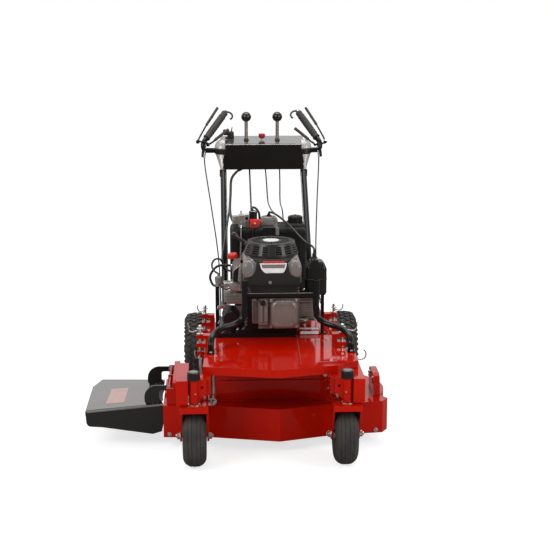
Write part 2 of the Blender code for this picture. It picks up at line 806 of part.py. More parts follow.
def make_console():
    shape = bmesh.new()
    bmesh.ops.create_cube(shape, size=1.0)
    for v in shape.verts:
        sign = 1.0 if v.co.x > 0 else -1.0
        rear = v.co.y > 0
        top_front_y = console_front_y + console_lean
        if v.co.z < 0:
            low_y = console_front_y + (console_depth if rear else 0.0)
            v.co = Vector((sign * console_half_bottom, low_y, console_bottom_z))
        elif rear:
            v.co = Vector((sign * console_half_rear, top_front_y + console_depth, console_top_rear_z))
        else:
            v.co = Vector((sign * console_half_front, top_front_y, console_top_front_z))
    floor_z = console_bottom_z + 0.001
    under = [f for f in shape.faces if f.normal.z < -0.9 or f.calc_center_median().z < floor_z]
    bmesh.ops.delete(shape, geom=under, context="FACES")
    shell = from_bmesh("console", shape)
    wall = shell.modifiers.new("wall", "SOLIDIFY")
    wall.thickness = console_sheet
    wall.offset = -1.0
    wall.use_even_offset = True
    shell = applied(shell)
    openings = []
    for x in control_lever_x:
        low = (x - lever_slot_half_width, control_lever_y - lever_slot_half, slot_low_z)
        high = (x + lever_slot_half_width, control_lever_y + lever_slot_half, slot_high_z)
        openings.append(box("slot", low, high))
    hole_low = (stop_knob_x, control_lever_y, slot_low_z)
    hole_high = (stop_knob_x, control_lever_y, slot_high_z)
    openings.append(rod("hole", hole_low, hole_high, stop_stem_radius + running_clearance))
    part(cut(shell, *openings), "console", black())


control_lever_x = (-0.077, 0.070)
stop_knob_x = -0.003
stop_stem_radius = 0.004


def make_console_levers():
    for name, x in zip(("shift_lever", "blade_lever"), control_lever_x):
        y, z = control_lever_y, lever_pivot_z
        stick = rod("stick", (x, y, z), (x, y, knob_z), lever_rod_radius, 10)
        hub = rod("hub", (x - 0.010, y, z), (x + 0.010, y, z), 0.011)
        knob = ball("knob", (x, y, knob_z), knob_radius)
        part(join(knob, stick, hub), name, black(), (x, y, z))
    x, y = stop_knob_x, control_lever_y
    stem_low_z = console_top_front_z - 0.017
    stem = rod("stem", (x, y, stem_low_z), (x, y, stop_head_z + 0.004), stop_stem_radius, 10)
    top_z = stop_head_z + stop_head_height
    head = bevelled(rod("head", (x, y, stop_head_z), (x, y, top_z), stop_head_radius, 20), 0.003)
    red_knob = finish("red_plastic", (0.5, 0.012, 0.01), 0.4)
    part(join(head, stem), "stop_knob", red_knob, (x, y, stop_head_z))


grip_base_y = console_front_y + grip_set_back
grip_base_z = console_bottom_z + grip_rise
grip_tip_y = console_front_y + grip_tip_set_back
grip_tip_z = console_bottom_z + grip_tip_rise
grip_base = {
    "right": Vector((-handle_half_width - 0.093, grip_base_y, grip_base_z)),
    "left": Vector((handle_half_width + 0.081, grip_base_y, grip_base_z)),
}
grip_tip = {
    "right": Vector((0.011 - handle_half_width, grip_tip_y, grip_tip_z)),
    "left": Vector((handle_half_width - 0.013, grip_tip_y, grip_tip_z)),
}
cable_radius = 0.003
lever_offset = 0.026
lever_rod = 0.004
pin_radius = 0.0035


def grip_frame(side):
    # Base, direction along the grip, direction across it towards the upper lever, and the lever axis
    base = grip_base[side]
    along = (grip_tip[side] - base).normalized()
    towards = Vector((SIDES[side] * 0.30, 0.62, 0.55))
    above = (towards - towards.dot(along) * along).normalized()
    return base, along, above, along.cross(above).normalized()


def grip_point(side, forward, up, across=0.0):
    base, along, above, axis = grip_frame(side)
    return base + along * forward + above * up + axis * across


def make_lever(side, name, pivot, stations, radius=lever_rod):
    # A bent rod with an eye at its pivot; stations are (along, above) from the grip's base
    eye_a = grip_point(side, *pivot, -0.004)
    eye_b = grip_point(side, *pivot, 0.004)
    eye = rod("eye", eye_a, eye_b, 0.0085, 16)
    path = rounded_route([grip_point(side, *pivot)] + [grip_point(side, *s) for s in stations], 0.012, 3)
    body = join(tube("rod", path, radius), eye)
    hole = rod("hole", grip_point(side, *pivot, -0.02), grip_point(side, *pivot, 0.02),
               pin_radius + running_clearance)
    part(cut(body, hole), name, black(), grip_point(side, *pivot))


upper_pivot = (-0.004, lever_offset)
lower_pivot = (0.002, -lever_offset)
latch_pivot = (0.212, 0.0)


def make_handle(side):
    sign = SIDES[side]
    base = grip_base[side]
    tip = grip_tip[side]
    inner = sign * (console_half_width(grip_tube_y, grip_tube_z) + 0.0045)
    path = rounded_route([
        (inner, grip_tube_y, grip_tube_z),
        (base.x - sign * 0.004, grip_tube_y, grip_tube_z),
        base,
        tip,
    ], 0.018, 3)
    body = tube("handle", path, handle_tube_radius, 3)
    pieces = []
    for pivot in (upper_pivot, lower_pivot):
        strut_a = grip_point(side, pivot[0] + 0.002, 0.0, 0.009)
        strut_b = grip_point(side, *pivot, 0.009)
        pieces.append(rod("strut", strut_a, strut_b, 0.0042, 10))
        pin_low = grip_point(side, *pivot, -0.006)
        pin_high = grip_point(side, *pivot, 0.013)
        pieces.append(rod("pin", pin_low, pin_high, pin_radius, 10))
    length = (tip - base).length
    stub_start = grip_point(side, length - 0.002, 0.0)
    stub_end = grip_point(side, latch_pivot[0] - 0.0065, 0.0)
    pieces.append(rod("stub", stub_start, stub_end, 0.0045, 10))
    part(join(body, *pieces), side + "_handle", black())
    reach = length + 0.020
    far = lever_offset + 0.014
    make_lever(side, side + "_presence_lever", upper_pivot,
               [(0.020, lever_offset + 0.006), (0.100, far), (reach - 0.008, far)])
    make_lever(side, side + "_drive_lever", lower_pivot,
               [(0.018, -lever_offset - 0.008), (0.090, -0.044), (0.135, -0.052)], 0.0045)
    eye = rod("eye", grip_point(side, *latch_pivot, -0.005), grip_point(side, *latch_pivot, 0.005), 0.006, 12)
    hook = tube("hook", rounded_route([
        grip_point(side, *latch_pivot), grip_point(side, latch_pivot[0] + 0.004, -0.014),
        grip_point(side, latch_pivot[0] - 0.010, -0.036), grip_point(side, latch_pivot[0] - 0.024, -0.034),
    ], 0.006, 3), 0.0035)
    part(join(hook, eye), side + "_thumb_latch", black(), grip_point(side, *latch_pivot))


def make_cables():
    # How far each cable runs outside its upright, and its distance back and height there
    reach = {
        "right": (0.087, 0.083, 0.056, 0.028, 0.019, 0.017),
        "left": (0.073, 0.069, 0.051, 0.035, 0.039, 0.047),
    }
    front_y, low_z = console_front_y, console_bottom_z
    places = [(front_y + 0.040, low_z + 0.065), (front_y, low_z + 0.006), (front_y - 0.140, low_z - 0.154)]
    places += [(1.140, 0.600), (1.060, 0.460), (1.010, 0.392)]
    for side, out in reach.items():
        points = [(SIDES[side] * (handle_half_width + x), y, z) for x, (y, z) in zip(out, places)]
        part(tube("cable", smooth_route(points, 3), cable_radius), side + "_control_cable", rubber())
    shift = rounded_route([
        (-0.065, front_y + 0.065, low_z + 0.026), (-0.062, 1.150, 0.668), (-0.055, 1.069, 0.580),
        (-0.040, 1.069, 0.350), (-0.040, 0.960 + GAP, 0.345),
    ], 0.020, 3)
    part(tube("shift rod", shift, 0.004), "shift_rod", steel())
    harness = smooth_route([
        (-0.085, front_y + 0.060, low_z + 0.041), (-0.105, front_y + 0.030, low_z + 0.001),
        (-0.140, front_y - 0.010, low_z - 0.019), (-0.155, front_y - 0.090, low_z - 0.074),
        (-0.155, 1.220, 0.800), (-0.150, 1.100, 0.780), (-0.140, 1.000, 0.768), (-0.125, 0.940, 0.7655),
    ], 4)
    part(tube("harness", harness, 0.0065), "wiring_harness", rubber())


# Cutter deck

def deck_outline(inset):
    # Seen from above: a V front wall and a round end about each blade
    ring = deck_ring_radius - inset
    right_x = deck_right_x + inset
    return [
        (0.012, 0.160 + inset * 1.04),
        (0.220, 0.225 + inset),
        (0.418, 0.252 + inset),
        (0.442 - inset, 0.292 + inset * 0.4),
        *arc(spindle_left, ring, -30, 108, 14),
        *arc(spindle_right, ring, 72, 152, 8),
        (right_x, 0.585 - inset),
        (right_x, 0.232 + inset),
        (-0.256, 0.225 + inset),
    ]


def make_deck_shell():
    body = plate("deck", deck_outline(0.0), deck_depth, at=deck_bottom_z)
    hollow = plate("hollow", deck_outline(deck_sheet), deck_depth, at=deck_bottom_z - deck_sheet)
    body = cut(body, hollow)
    pieces = []
    for spot in (spindle_right, spindle_left):
        boss_low = (*spot, deck_top_z - 0.002)
        boss_high = (*spot, deck_top_z + boss_height)
        pieces.append(rod("boss", boss_low, boss_high, boss_radius, 24, boss_radius - 0.012))
    for y in (hanger_front_y, hanger_rear_y):
        for x in (-0.170, 0.150):
            lug_low = (x - 0.006, y - 0.014, deck_top_z - 0.002)
            lug_high = (x + 0.006, y + 0.014, hanger_cross_z + 0.014)
            pieces.append(box("lug", lug_low, lug_high))
    wing = plate(
        "wing plate",
        [(0.310, deck_top_z - 0.002), (0.460, deck_top_z - 0.002), *arc((0.435, 0.240), 0.025, 0, 90, 5),
         *arc((0.345, 0.235), 0.030, 90, 180, 5)],
        0.026,
        "YZ",
        0.388,
    )
    pieces.append(wing)
    body = join(body, *pieces)
    mouth = box("mouth", (deck_right_x - 0.010, chute_front_y + 0.030, deck_bottom_z - 0.01),
                (deck_right_x + 0.020, chute_front_y + chute_depth - 0.020, deck_top_z - 0.014))
    cuts = [mouth]
    for spot in (spindle_right, spindle_left):
        cuts.append(rod("bore", (*spot, 0.1), (*spot, 0.4), spindle_radius + running_clearance, 20))
    for y in (hanger_front_y, hanger_rear_y):
        bore_start = (-0.25, y, hanger_cross_z)
        bore_end = (0.25, y, hanger_cross_z)
        cuts.append(rod("bore", bore_start, bore_end, hanger_radius + hanger_hole, 12))
    part(cut(body, *cuts), "deck_shell", red())


def make_hangers():
    for name, y, ends in (("front_deck_hanger", hanger_front_y, hanger_front_x),
                          ("rear_deck_hanger", hanger_rear_y, hanger_rear_x)):
        path = rounded_route([
            (ends[0], y, hanger_top_z), (ends[0], y, hanger_cross_z), (ends[1], y, hanger_cross_z),
            (ends[1], y, hanger_top_z),
        ], 0.012, 3)
        part(tube("hanger", path, hanger_radius), name, steel())


def make_blades():
    blade_z = deck_bottom_z + 0.016
    pulley_z = deck_top_z + boss_height + 0.012
    for side, spot in (("right", spindle_right), ("left", spindle_left)):
        x, y = spot
        shaft_low_z = blade_z + blade_thickness + GAP
        shaft = rod("shaft", (x, y, shaft_low_z), (x, y, pulley_z + 0.026), spindle_radius, 20)
        pulley = rod("pulley", (x, y, pulley_z), (x, y, pulley_z + pulley_width), deck_pulley_radius, 32)
        part(join(pulley, shaft), side + "_spindle", steel(), (x, y, pulley_z))
        half = blade_length / 2
        w = blade_width / 2
        outline = [
            (x - half, y - w), (x + half - 0.012, y - w), (x + half, y - w + 0.02),
            (x + half, y + w), (x - half + 0.012, y + w), (x - half, y + w - 0.02),
        ]
        bar = plate("bar", outline, blade_thickness, at=blade_z)
        fins = []
        for sign in (-1, 1):
            low_x, high_x = sorted((x + sign * (half - 0.060), x + sign * (half - 0.006)))
            low_y, high_y = sorted((y + sign * (w - 0.004), y + sign * w))
            fins.append(box("fin", (low_x, low_y, blade_z + 0.001), (high_x, high_y, blade_z + 0.022)))
        bolt = rod("bolt", (x, y, blade_z - 0.008), (x, y, blade_z + 0.002), 0.012, 6)
        part(join(bar, *fins, bolt), side + "_blade", steel(), (x, y, blade_z))


def make_chute():
    inner = -0.442
    outer = inner - chute_length
    rear = chute_front_y + chute_depth + chute_overhang
    outer_rear = rear + chute_skew
    top = deck_top_z - 0.004
    sheet = plate(
        "sheet",
        [(outer, chute_front_y), (inner, chute_front_y), (inner, rear), (outer + 0.032, outer_rear),
         (outer, outer_rear - chute_corner)],
        chute_sheet,
        at=top - chute_sheet,
    )
    front = plate(
        "front",
        [(outer, top - 0.060), (outer + 0.030, top - 0.070), (inner - 0.014, top - 0.090),
         (inner, top - 0.010), (inner, top - 0.001), (outer, top - 0.001)],
        chute_sheet,
        "XZ",
        chute_front_y,
    )
    side_low = (outer, chute_front_y + 0.001, top - 0.030)
    side_high = (outer + chute_sheet, outer_rear - chute_corner - 0.004, top - 0.001)
    side = box("side", side_low, side_high)
    to_edge = Matrix.Translation((inner, 0, top))
    lean = to_edge @ Matrix.Rotation(-chute_tilt, 4, "Y") @ Matrix.Translation((-inner, 0, -top))
    pan = join(sheet, front, side)
    pan.data.transform(lean)
    arms = []
    band = 0.020
    low = deck_top_z - 0.006
    high = chute_hinge_z + 0.010
    bend = (high - low) / 2
    turn_x = chute_hinge_x - 0.058
    for y in (chute_front_y + 0.014, chute_front_y + chute_depth - 0.050):
        outline = [
            *arc((chute_hinge_x, chute_hinge_z), 0.010, -90, 90, 6),
            *arc((turn_x, low + bend), bend, 90, 270, 8),
            (-0.447, low),
            (-0.447, low + band - 0.004),
            *arc((turn_x + 0.004, low + bend - 0.001), bend - band + 0.002, 270, 90, 8),
        ]
        hole = (chute_hinge_x, chute_hinge_z, hinge_pin_radius + 0.0006)
        arms.append(plate("arm", outline, 0.008, "XZ", y, holes=[hole]))
    part(join(pan, *arms), "discharge_chute", black(), (chute_hinge_x, chute_front_y, chute_hinge_z))

    x0 = chute_hinge_x + 0.015
    start = chute_front_y - 0.020
    end = chute_front_y + chute_depth - 0.020
    bracket = plate(
        "bracket",
        [(start, deck_top_z + GAP), (end, deck_top_z + GAP), *arc((end - 0.030, 0.238), 0.030, 0, 90, 4),
         *arc((start + 0.030, 0.238), 0.030, 90, 180, 4)],
        0.022,
        "YZ",
        x0,
    )
    pin_start = (chute_hinge_x, start, chute_hinge_z)
    pin_end = (chute_hinge_x, end, chute_hinge_z)
    pin = rod("pin", pin_start, pin_end, hinge_pin_radius, 12)
    ears = []
    for y in (start, chute_front_y + chute_depth / 2, end - 0.006):
        ear_low = (chute_hinge_x - 0.009, y, deck_top_z + GAP)
        ear_high = (x0 + 0.004, y + 0.006, chute_hinge_z + 0.009)
        ears.append(box("ear", ear_low, ear_high))
    part(join(bracket, pin, *ears), "chute_bracket", red())


make_carrier_frame()
make_caster_housing("right", kingpin_right_x)
make_caster_housing("left", kingpin_left_x)
make_caster("right", kingpin_right_x)
make_caster("left", kingpin_left_x)
for side_name in SIDES:
    make_axle_plate(side_name)
    make_drive_wheel(side_name)
make_engine_guard()
make_transmission()
make_engine()
make_fuel_system()
make_handle_frame()
make_console()
make_console_levers()
for side_name in SIDES:
    make_handle(side_name)
make_cables()
make_deck_shell()
make_hangers()
make_blades()
make_chute()

# The origin goes to the middle of the footprint, on the floor
bpy.context.view_layer.update()
corners = [made.matrix_world @ Vector(corner) for made in made_parts for corner in made.bound_box]
middle_x = (min(c.x for c in corners) + max(c.x for c in corners)) / 2
middle_y = (min(c.y for c in corners) + max(c.y for c in corners)) / 2
mower = bpy.data.objects.new("mower", None)
parts.objects.link(mower)
for made in made_parts:
    made.parent = mower
mower.location = (-middle_x, -middle_y, 0.0)
print("origin is at x %.4f, y %.4f while modelling, with %d parts" % (middle_x, middle_y, len(made_parts)))
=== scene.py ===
# %% [markdown]
# # A walk-behind petrol lawn mower
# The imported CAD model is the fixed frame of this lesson: it says where everything is and what moves.
# Round that frame we build the parts that people see: rounded sheet metal, treaded tyres, a moulded
# engine shroud, hoses, bolts and grips.

import json
import math

import bmesh
import bpy
from mathutils import Matrix, Vector, geometry


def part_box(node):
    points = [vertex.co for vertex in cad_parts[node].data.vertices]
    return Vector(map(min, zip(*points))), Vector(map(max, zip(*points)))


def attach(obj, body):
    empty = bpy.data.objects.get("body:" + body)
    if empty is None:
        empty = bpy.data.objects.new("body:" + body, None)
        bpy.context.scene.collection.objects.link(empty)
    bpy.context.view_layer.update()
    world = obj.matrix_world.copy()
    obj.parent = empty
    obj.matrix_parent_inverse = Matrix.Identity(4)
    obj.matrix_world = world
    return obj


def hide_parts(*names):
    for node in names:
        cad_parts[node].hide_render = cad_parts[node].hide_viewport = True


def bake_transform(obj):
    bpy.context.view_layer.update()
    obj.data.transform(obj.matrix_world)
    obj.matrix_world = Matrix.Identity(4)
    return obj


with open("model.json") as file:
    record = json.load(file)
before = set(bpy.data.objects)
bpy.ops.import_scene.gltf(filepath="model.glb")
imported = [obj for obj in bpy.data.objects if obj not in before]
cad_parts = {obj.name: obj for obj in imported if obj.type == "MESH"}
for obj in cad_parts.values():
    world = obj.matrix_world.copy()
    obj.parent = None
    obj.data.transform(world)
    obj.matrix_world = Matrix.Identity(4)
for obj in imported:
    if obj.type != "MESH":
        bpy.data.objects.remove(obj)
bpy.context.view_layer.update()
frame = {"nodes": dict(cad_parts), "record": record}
nodes = frame["nodes"]

# %% [markdown]
# All places below are measured as the maker would: y = 0 at the caster kingpins, x = 0 at the engine's
# crankshaft, z = 0 on the floor. The frame's own origin lies elsewhere, so one shift joins the two. The
# crankshaft tells us that shift, and every piece is moved by it once, when it is finished.

# %% Find the shift from the maker's zero to the frame's zero
crank_behind_kingpins = 0.6
crank_low, crank_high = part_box("crankshaft")
crank_middle = (crank_low + crank_high) / 2
SHIFT = Vector((crank_middle.x, crank_middle.y - crank_behind_kingpins, 0.0))
print("shift", [round(value, 4) for value in SHIFT])

# %% [markdown]
# The photograph was taken from the front, a little above and slightly from one side, with a long lens.
# A long lens keeps the casters and the handle at nearly the same scale.

# %% Camera
camera_place = Vector((-0.2254, -4.4402, 1.6986)) + SHIFT
camera_turn = math.radians(2.719)
camera_down = math.radians(12.178)
looking = Vector((
    math.sin(camera_turn) * math.cos(camera_down), math.cos(camera_turn) * math.cos(camera_down),
    -math.sin(camera_down),
))
camera_data = bpy.data.cameras.new("photo camera")
camera_data.sensor_width = 36.0
camera_data.lens = 82.75
camera = bpy.data.objects.new("photo camera", camera_data)
camera.location = camera_place
camera.rotation_euler = looking.to_track_quat("-Z", "Y").to_euler()
bpy.context.scene.collection.objects.link(camera)
bpy.context.scene.camera = camera
print("camera at", [round(value, 3) for value in camera_place])

# %% [markdown]
# The floor and the far background are white, as in a catalogue picture. White rays reach the camera
# and the mirror-like metal, while the light that falls on the machine stays at a plain level. The floor
# is half lit surface and half glow, so a soft shadow still shows under the deck.

# %% Floor and world
bpy.context.scene.view_settings.view_transform = "Standard"


def wire(tree, start, end):
    tree.links.new(start, end)


def add(tree, kind, links=None, operation=None, **values):
    # A new shader node. Links feed its inputs, by name or number; in a value's name, _ stands for a space
    node = tree.nodes.new("ShaderNode" + kind)
    if operation:
        node.operation = operation
    for label, value in values.items():
        node.inputs[label.replace("_", " ")].default_value = value
    for label, source in (links or {}).items():
        wire(tree, source, node.inputs[label])
    return node


def white_world():
    world = bpy.data.worlds.new("white studio")
    world.use_nodes = True
    tree = world.node_tree
    tree.nodes.clear()
    path = add(tree, "LightPath")
    seen = add(tree, "Math", {0: path.outputs["Is Camera Ray"], 1: path.outputs["Is Glossy Ray"]}, "MAXIMUM")
    clear = add(tree, "Math", {0: seen.outputs[0], 1: path.outputs["Is Transmission Ray"]}, "MAXIMUM")
    soft = add(tree, "Background", Color=(0.98, 0.99, 1.0, 1.0), Strength=0.7)
    # Mirror rays see the white backdrop behind the machine and a dimmer room before and over it
    where = add(tree, "TexCoord")
    split = add(tree, "SeparateXYZ", {0: where.outputs["Generated"]})
    behind = add(tree, "MapRange", {"Value": split.outputs["Y"]}, From_Min=-0.45, From_Max=0.25, To_Min=0.16)
    bright = add(tree, "Math", {0: behind.outputs[0], 1: path.outputs["Is Camera Ray"]}, "MAXIMUM")
    white = add(tree, "Background", {"Strength": bright.outputs[0]}, Color=(1.0, 1.0, 1.0, 1.0))
    mix = add(tree, "MixShader", {0: clear.outputs[0], 1: soft.outputs[0], 2: white.outputs[0]})
    out = add(tree, "OutputWorld", {"Surface": mix.outputs[0]})
    bpy.context.scene.world = world


def floor_material():
    made = bpy.data.materials.new("studio floor")
    made.use_nodes = True
    tree = made.node_tree
    tree.nodes.clear()
    path = add(tree, "LightPath")
    plain = add(tree, "BsdfDiffuse", Color=(0.72, 0.72, 0.72, 1.0))
    half = add(tree, "BsdfDiffuse", Color=(0.45, 0.45, 0.45, 1.0))
    mirrored = add(tree, "BsdfDiffuse", Color=(0.2, 0.2, 0.2, 1.0))
    glow = add(tree, "Emission", Strength=0.7)
    both = add(tree, "AddShader", {0: half.outputs[0], 1: glow.outputs[0]})
    unseen = add(
        tree, "MixShader", {0: path.outputs["Is Glossy Ray"], 1: plain.outputs[0], 2: mirrored.outputs[0]},
    )
    mix = add(tree, "MixShader", {0: path.outputs["Is Camera Ray"], 1: unseen.outputs[0], 2: both.outputs[0]})
    out = add(tree, "OutputMaterial", {"Surface": mix.outputs[0]})
    return made


white_world()
floor_shape = bmesh.new()
bmesh.ops.create_grid(floor_shape, x_segments=2, y_segments=2, size=60.0)
floor_mesh = bpy.data.meshes.new("floor")
floor_shape.to_mesh(floor_mesh)
floor_shape.free()
floor_mesh.materials.append(floor_material())
floor = bpy.data.objects.new("floor", floor_mesh)
bpy.context.scene.collection.objects.link(floor)
print("floor is 120 m wide")

# %% [markdown]
# Three large soft lamps stand round the machine: a key before it on the left, a fill on the right and
# one over it. Each is a wide rectangle, because glossy paint mirrors the lamp's own shape.

# %% Studio lamps
def soft_lamp(name, place, aim, width, height, power):
    lamp = bpy.data.lights.new(name, "AREA")
    lamp.shape = "RECTANGLE"
    lamp.size = width
    lamp.size_y = height
    lamp.energy = power
    holder = bpy.data.objects.new(name, lamp)
    holder.location = place
    holder.rotation_euler = (Vector(aim) - Vector(place)).to_track_quat("-Z", "Y").to_euler()
    bpy.context.scene.collection.objects.link(holder)
    return holder


machine_middle = (0.0, 0.0, 0.45)
soft_lamp("key lamp", (-2.6, -3.2, 3.0), machine_middle, 2.0, 1.6, 95.0)
soft_lamp("fill lamp", (3.0, -2.4, 2.0), machine_middle, 1.6, 2.2, 58.0)
soft_lamp("top lamp", (0.2, 0.6, 3.6), machine_middle, 2.6, 1.8, 60.0)
print("3 lamps")

# %% [markdown]
# ## Finishes
# Paint, plastic and cast metal differ in a few effects only: how the tone drifts over a large area, how
# fine the surface grain is, and how much lighter the edges are, partly from wear and partly as a painted
# highlight of the light on rounded edges. Each effect is a small node group that puts out a mask or a
# height, so each finish can use it with its own values.

# %% Node groups for tone, grain and lightened edges
def open_group(name, values, outputs):
    # Its inputs are a vector and the named values
    group = bpy.data.node_groups.new(name, "ShaderNodeTree")
    group.interface.new_socket("Vector", in_out="INPUT", socket_type="NodeSocketVector")
    for label, value in values.items():
        socket = group.interface.new_socket(label, in_out="INPUT", socket_type="NodeSocketFloat")
        socket.default_value = value
    for label in outputs:
        group.interface.new_socket(label, in_out="OUTPUT", socket_type="NodeSocketFloat")
    return group, group.nodes.new("NodeGroupInput"), group.nodes.new("NodeGroupOutput")


def tone_group():
    # Slow clouds over the surface, as a mask from 0 to 1
    group, enter, leave = open_group("tone drift", {"Scale": 5.0}, ["Mask"])
    clouds = add(
        group, "TexNoise", {"Vector": enter.outputs["Vector"], "Scale": enter.outputs["Scale"]}, Detail=3.0,
    )
    spread = add(group, "MapRange", {"Value": clouds.outputs[0]}, From_Min=0.35, From_Max=0.65)
    wire(group, spread.outputs[0], leave.inputs["Mask"])
    return group


def grain_group():
    # Fine grain: a height for bump and a mask for roughness
    group, enter, leave = open_group("fine grain", {"Scale": 400.0, "Pits": 0.0}, ["Height", "Mask"])
    fine = add(
        group, "TexNoise", {"Vector": enter.outputs["Vector"], "Scale": enter.outputs["Scale"]}, Detail=2.0,
    )
    cells = add(group, "TexVoronoi", {"Vector": enter.outputs["Vector"], "Scale": enter.outputs["Scale"]})
    blend = add(group, "Mix", {0: enter.outputs["Pits"], 2: fine.outputs[0], 3: cells.outputs["Distance"]})
    wire(group, blend.outputs[0], leave.inputs["Height"])
    wire(group, fine.outputs[0], leave.inputs["Mask"])
    return group


def edge_light_and_wear_group():
    # Edges made lighter, partly for wear and partly as a painted highlight: where a rounded normal leaves the
    # true one
    group, enter, leave = open_group("edge light and wear", {"Width": 0.002, "Amount": 0.5}, ["Mask"])
    soft = add(group, "Bevel", {"Radius": enter.outputs["Width"]})
    soft.samples = 4
    true = add(group, "NewGeometry")
    facing = add(group, "VectorMath", {0: soft.outputs["Normal"], 1: true.outputs["Normal"]}, "DOT_PRODUCT")
    edge = add(group, "MapRange", {"Value": facing.outputs["Value"]}, From_Min=0.995, From_Max=0.8)
    patchy = add(group, "TexNoise", {"Vector": enter.outputs["Vector"]}, Scale=90.0)
    light_and_wear = add(group, "Math", {0: edge.outputs[0], 1: patchy.outputs[0]}, "MULTIPLY")
    amount = add(group, "Math", {0: light_and_wear.outputs[0], 1: enter.outputs["Amount"]}, "MULTIPLY")
    amount.use_clamp = True
    wire(group, amount.outputs[0], leave.inputs["Mask"])
    return group


TONE, GRAIN, EDGE_LIGHT_AND_WEAR = tone_group(), grain_group(), edge_light_and_wear_group()
print("groups:", TONE.name, GRAIN.name, EDGE_LIGHT_AND_WEAR.name)

# %% [markdown]
# One maker of finishes sets the two tones, the range of gloss and the grain. The shader itself stays in
# the material, and plain values sit on its own sockets, so the finish looks the same in other programs.

# %% The finish maker
def use_group(tree, group, vector, **values):
    node = tree.nodes.new("ShaderNodeGroup")
    node.node_tree = group
    wire(tree, vector, node.inputs["Vector"])
    for label, value in values.items():
        node.inputs[label].default_value = value
    return node


def make_finish(
    name, colour, second, gloss, grain, depth, metallic=0.0, specular=0.5, drift=5.0, pits=0.0, edge_light_and_wear=0.0,
    edge_light_and_wear_colour=(0.2, 0.2, 0.2), stretch=(1.0, 1.0, 1.0),
):
    made = bpy.data.materials.new(name)
    made.use_nodes = True
    made.diffuse_color = (*colour, 1.0)
    tree = made.node_tree
    shader = tree.nodes["Principled BSDF"]
    for label, value in {"Metallic": metallic, "Specular IOR Level": specular}.items():
        shader.inputs[label].default_value = value
    where = add(tree, "TexCoord")
    turn = add(tree, "Mapping", {"Vector": where.outputs["Object"]}, Scale=stretch)
    tone = use_group(tree, TONE, where.outputs["Object"], Scale=drift)
    fine = use_group(tree, GRAIN, turn.outputs["Vector"], Scale=grain, Pits=pits)
    mix = add(tree, "Mix")
    mix.data_type = "RGBA"
    mix.inputs[6].default_value = (*colour, 1.0)
    mix.inputs[7].default_value = (*second, 1.0)
    wire(tree, tone.outputs["Mask"], mix.inputs[0])
    shown = mix.outputs[2]
    # Lighter edges: a little wear, and partly a painted highlight of the light that rounded edges catch
    if edge_light_and_wear:
        edges = use_group(tree, EDGE_LIGHT_AND_WEAR, where.outputs["Object"], Amount=edge_light_and_wear)
        light_and_wear = add(tree, "Mix")
        light_and_wear.data_type = "RGBA"
        light_and_wear.inputs[7].default_value = (*edge_light_and_wear_colour, 1.0)
        wire(tree, edges.outputs["Mask"], light_and_wear.inputs[0])
        wire(tree, shown, light_and_wear.inputs[6])
        shown = light_and_wear.outputs[2]
    wire(tree, shown, shader.inputs["Base Color"])
    rough = add(
        tree, "MapRange", {"Value": fine.outputs["Mask"]}, From_Min=0.3, From_Max=0.7, To_Min=gloss[0],
        To_Max=gloss[1],
    )
    wire(tree, rough.outputs[0], shader.inputs["Roughness"])
    bump = add(tree, "Bump", {"Height": fine.outputs["Height"]}, Strength=1.0, Distance=depth)
    wire(tree, bump.outputs["Normal"], shader.inputs["Normal"])
    return made


print("finish maker ready")

# %% [markdown]
# The machine has few kinds of finish, each in a few tones: orange-red paint with a clear gloss, satin
# black powder coat, moulded dark plastic, cast aluminium, bright zinc on the small steel parts, and
# rubber.

# %% Finishes
red_paint = make_finish(
    "red paint", (0.378, 0.0056, 0.0004), (0.328, 0.0044, 0.0003), (0.05, 0.1), 260.0, 0.00002, specular=0.19,
    edge_light_and_wear=0.35, edge_light_and_wear_colour=(0.56, 0.06, 0.02),
)
black_coat = make_finish(
    "black powder coat", (0.005, 0.0045, 0.004), (0.007, 0.0062, 0.0056), (0.14, 0.24), 900.0, 0.00003,
    specular=0.24, edge_light_and_wear=0.5, edge_light_and_wear_colour=(0.03, 0.027, 0.024),
)
# Its light grey is partly the plastic's own tone and partly a painted reflection of the light on the
# housing's shoulders
engine_grey = make_finish(
    "warm grey engine plastic", (0.15, 0.13, 0.116), (0.129, 0.111, 0.1), (0.24, 0.34), 1400.0, 0.00005,
    pits=0.6, edge_light_and_wear=0.4, edge_light_and_wear_colour=(0.17, 0.155, 0.142),
)
dark_plastic = make_finish(
    "dark grey plastic", (0.0175, 0.0152, 0.0135), (0.0145, 0.0126, 0.0112), (0.26, 0.36), 1300.0, 0.00005,
    specular=0.4, pits=0.6, edge_light_and_wear=0.4, edge_light_and_wear_colour=(0.06, 0.054, 0.049),
)
gloss_black = make_finish(
    "gloss black", (0.007, 0.006, 0.0052), (0.009, 0.008, 0.007), (0.07, 0.13), 800.0, 0.00002, specular=0.62,
    edge_light_and_wear=0.4, edge_light_and_wear_colour=(0.03, 0.027, 0.024),
)
black_plastic = make_finish(
    "black plastic", (0.008, 0.007, 0.0062), (0.0105, 0.0095, 0.0085), (0.24, 0.36), 1200.0, 0.00004,
    specular=0.32, pits=0.5, edge_light_and_wear=0.4, edge_light_and_wear_colour=(0.04, 0.036, 0.032),
)
cast_alloy = make_finish(
    "cast aluminium", (0.21, 0.175, 0.155), (0.15, 0.125, 0.112), (0.3, 0.46), 500.0, 0.00014, metallic=0.45,
    drift=14.0, edge_light_and_wear=0.6, edge_light_and_wear_colour=(0.42, 0.38, 0.35),
)
bright_alloy = make_finish(
    "bright cast aluminium", (0.56, 0.53, 0.49), (0.42, 0.39, 0.36), (0.26, 0.42), 420.0, 0.00016,
    metallic=0.9, drift=24.0, edge_light_and_wear=0.5, edge_light_and_wear_colour=(0.78, 0.75, 0.71),
)
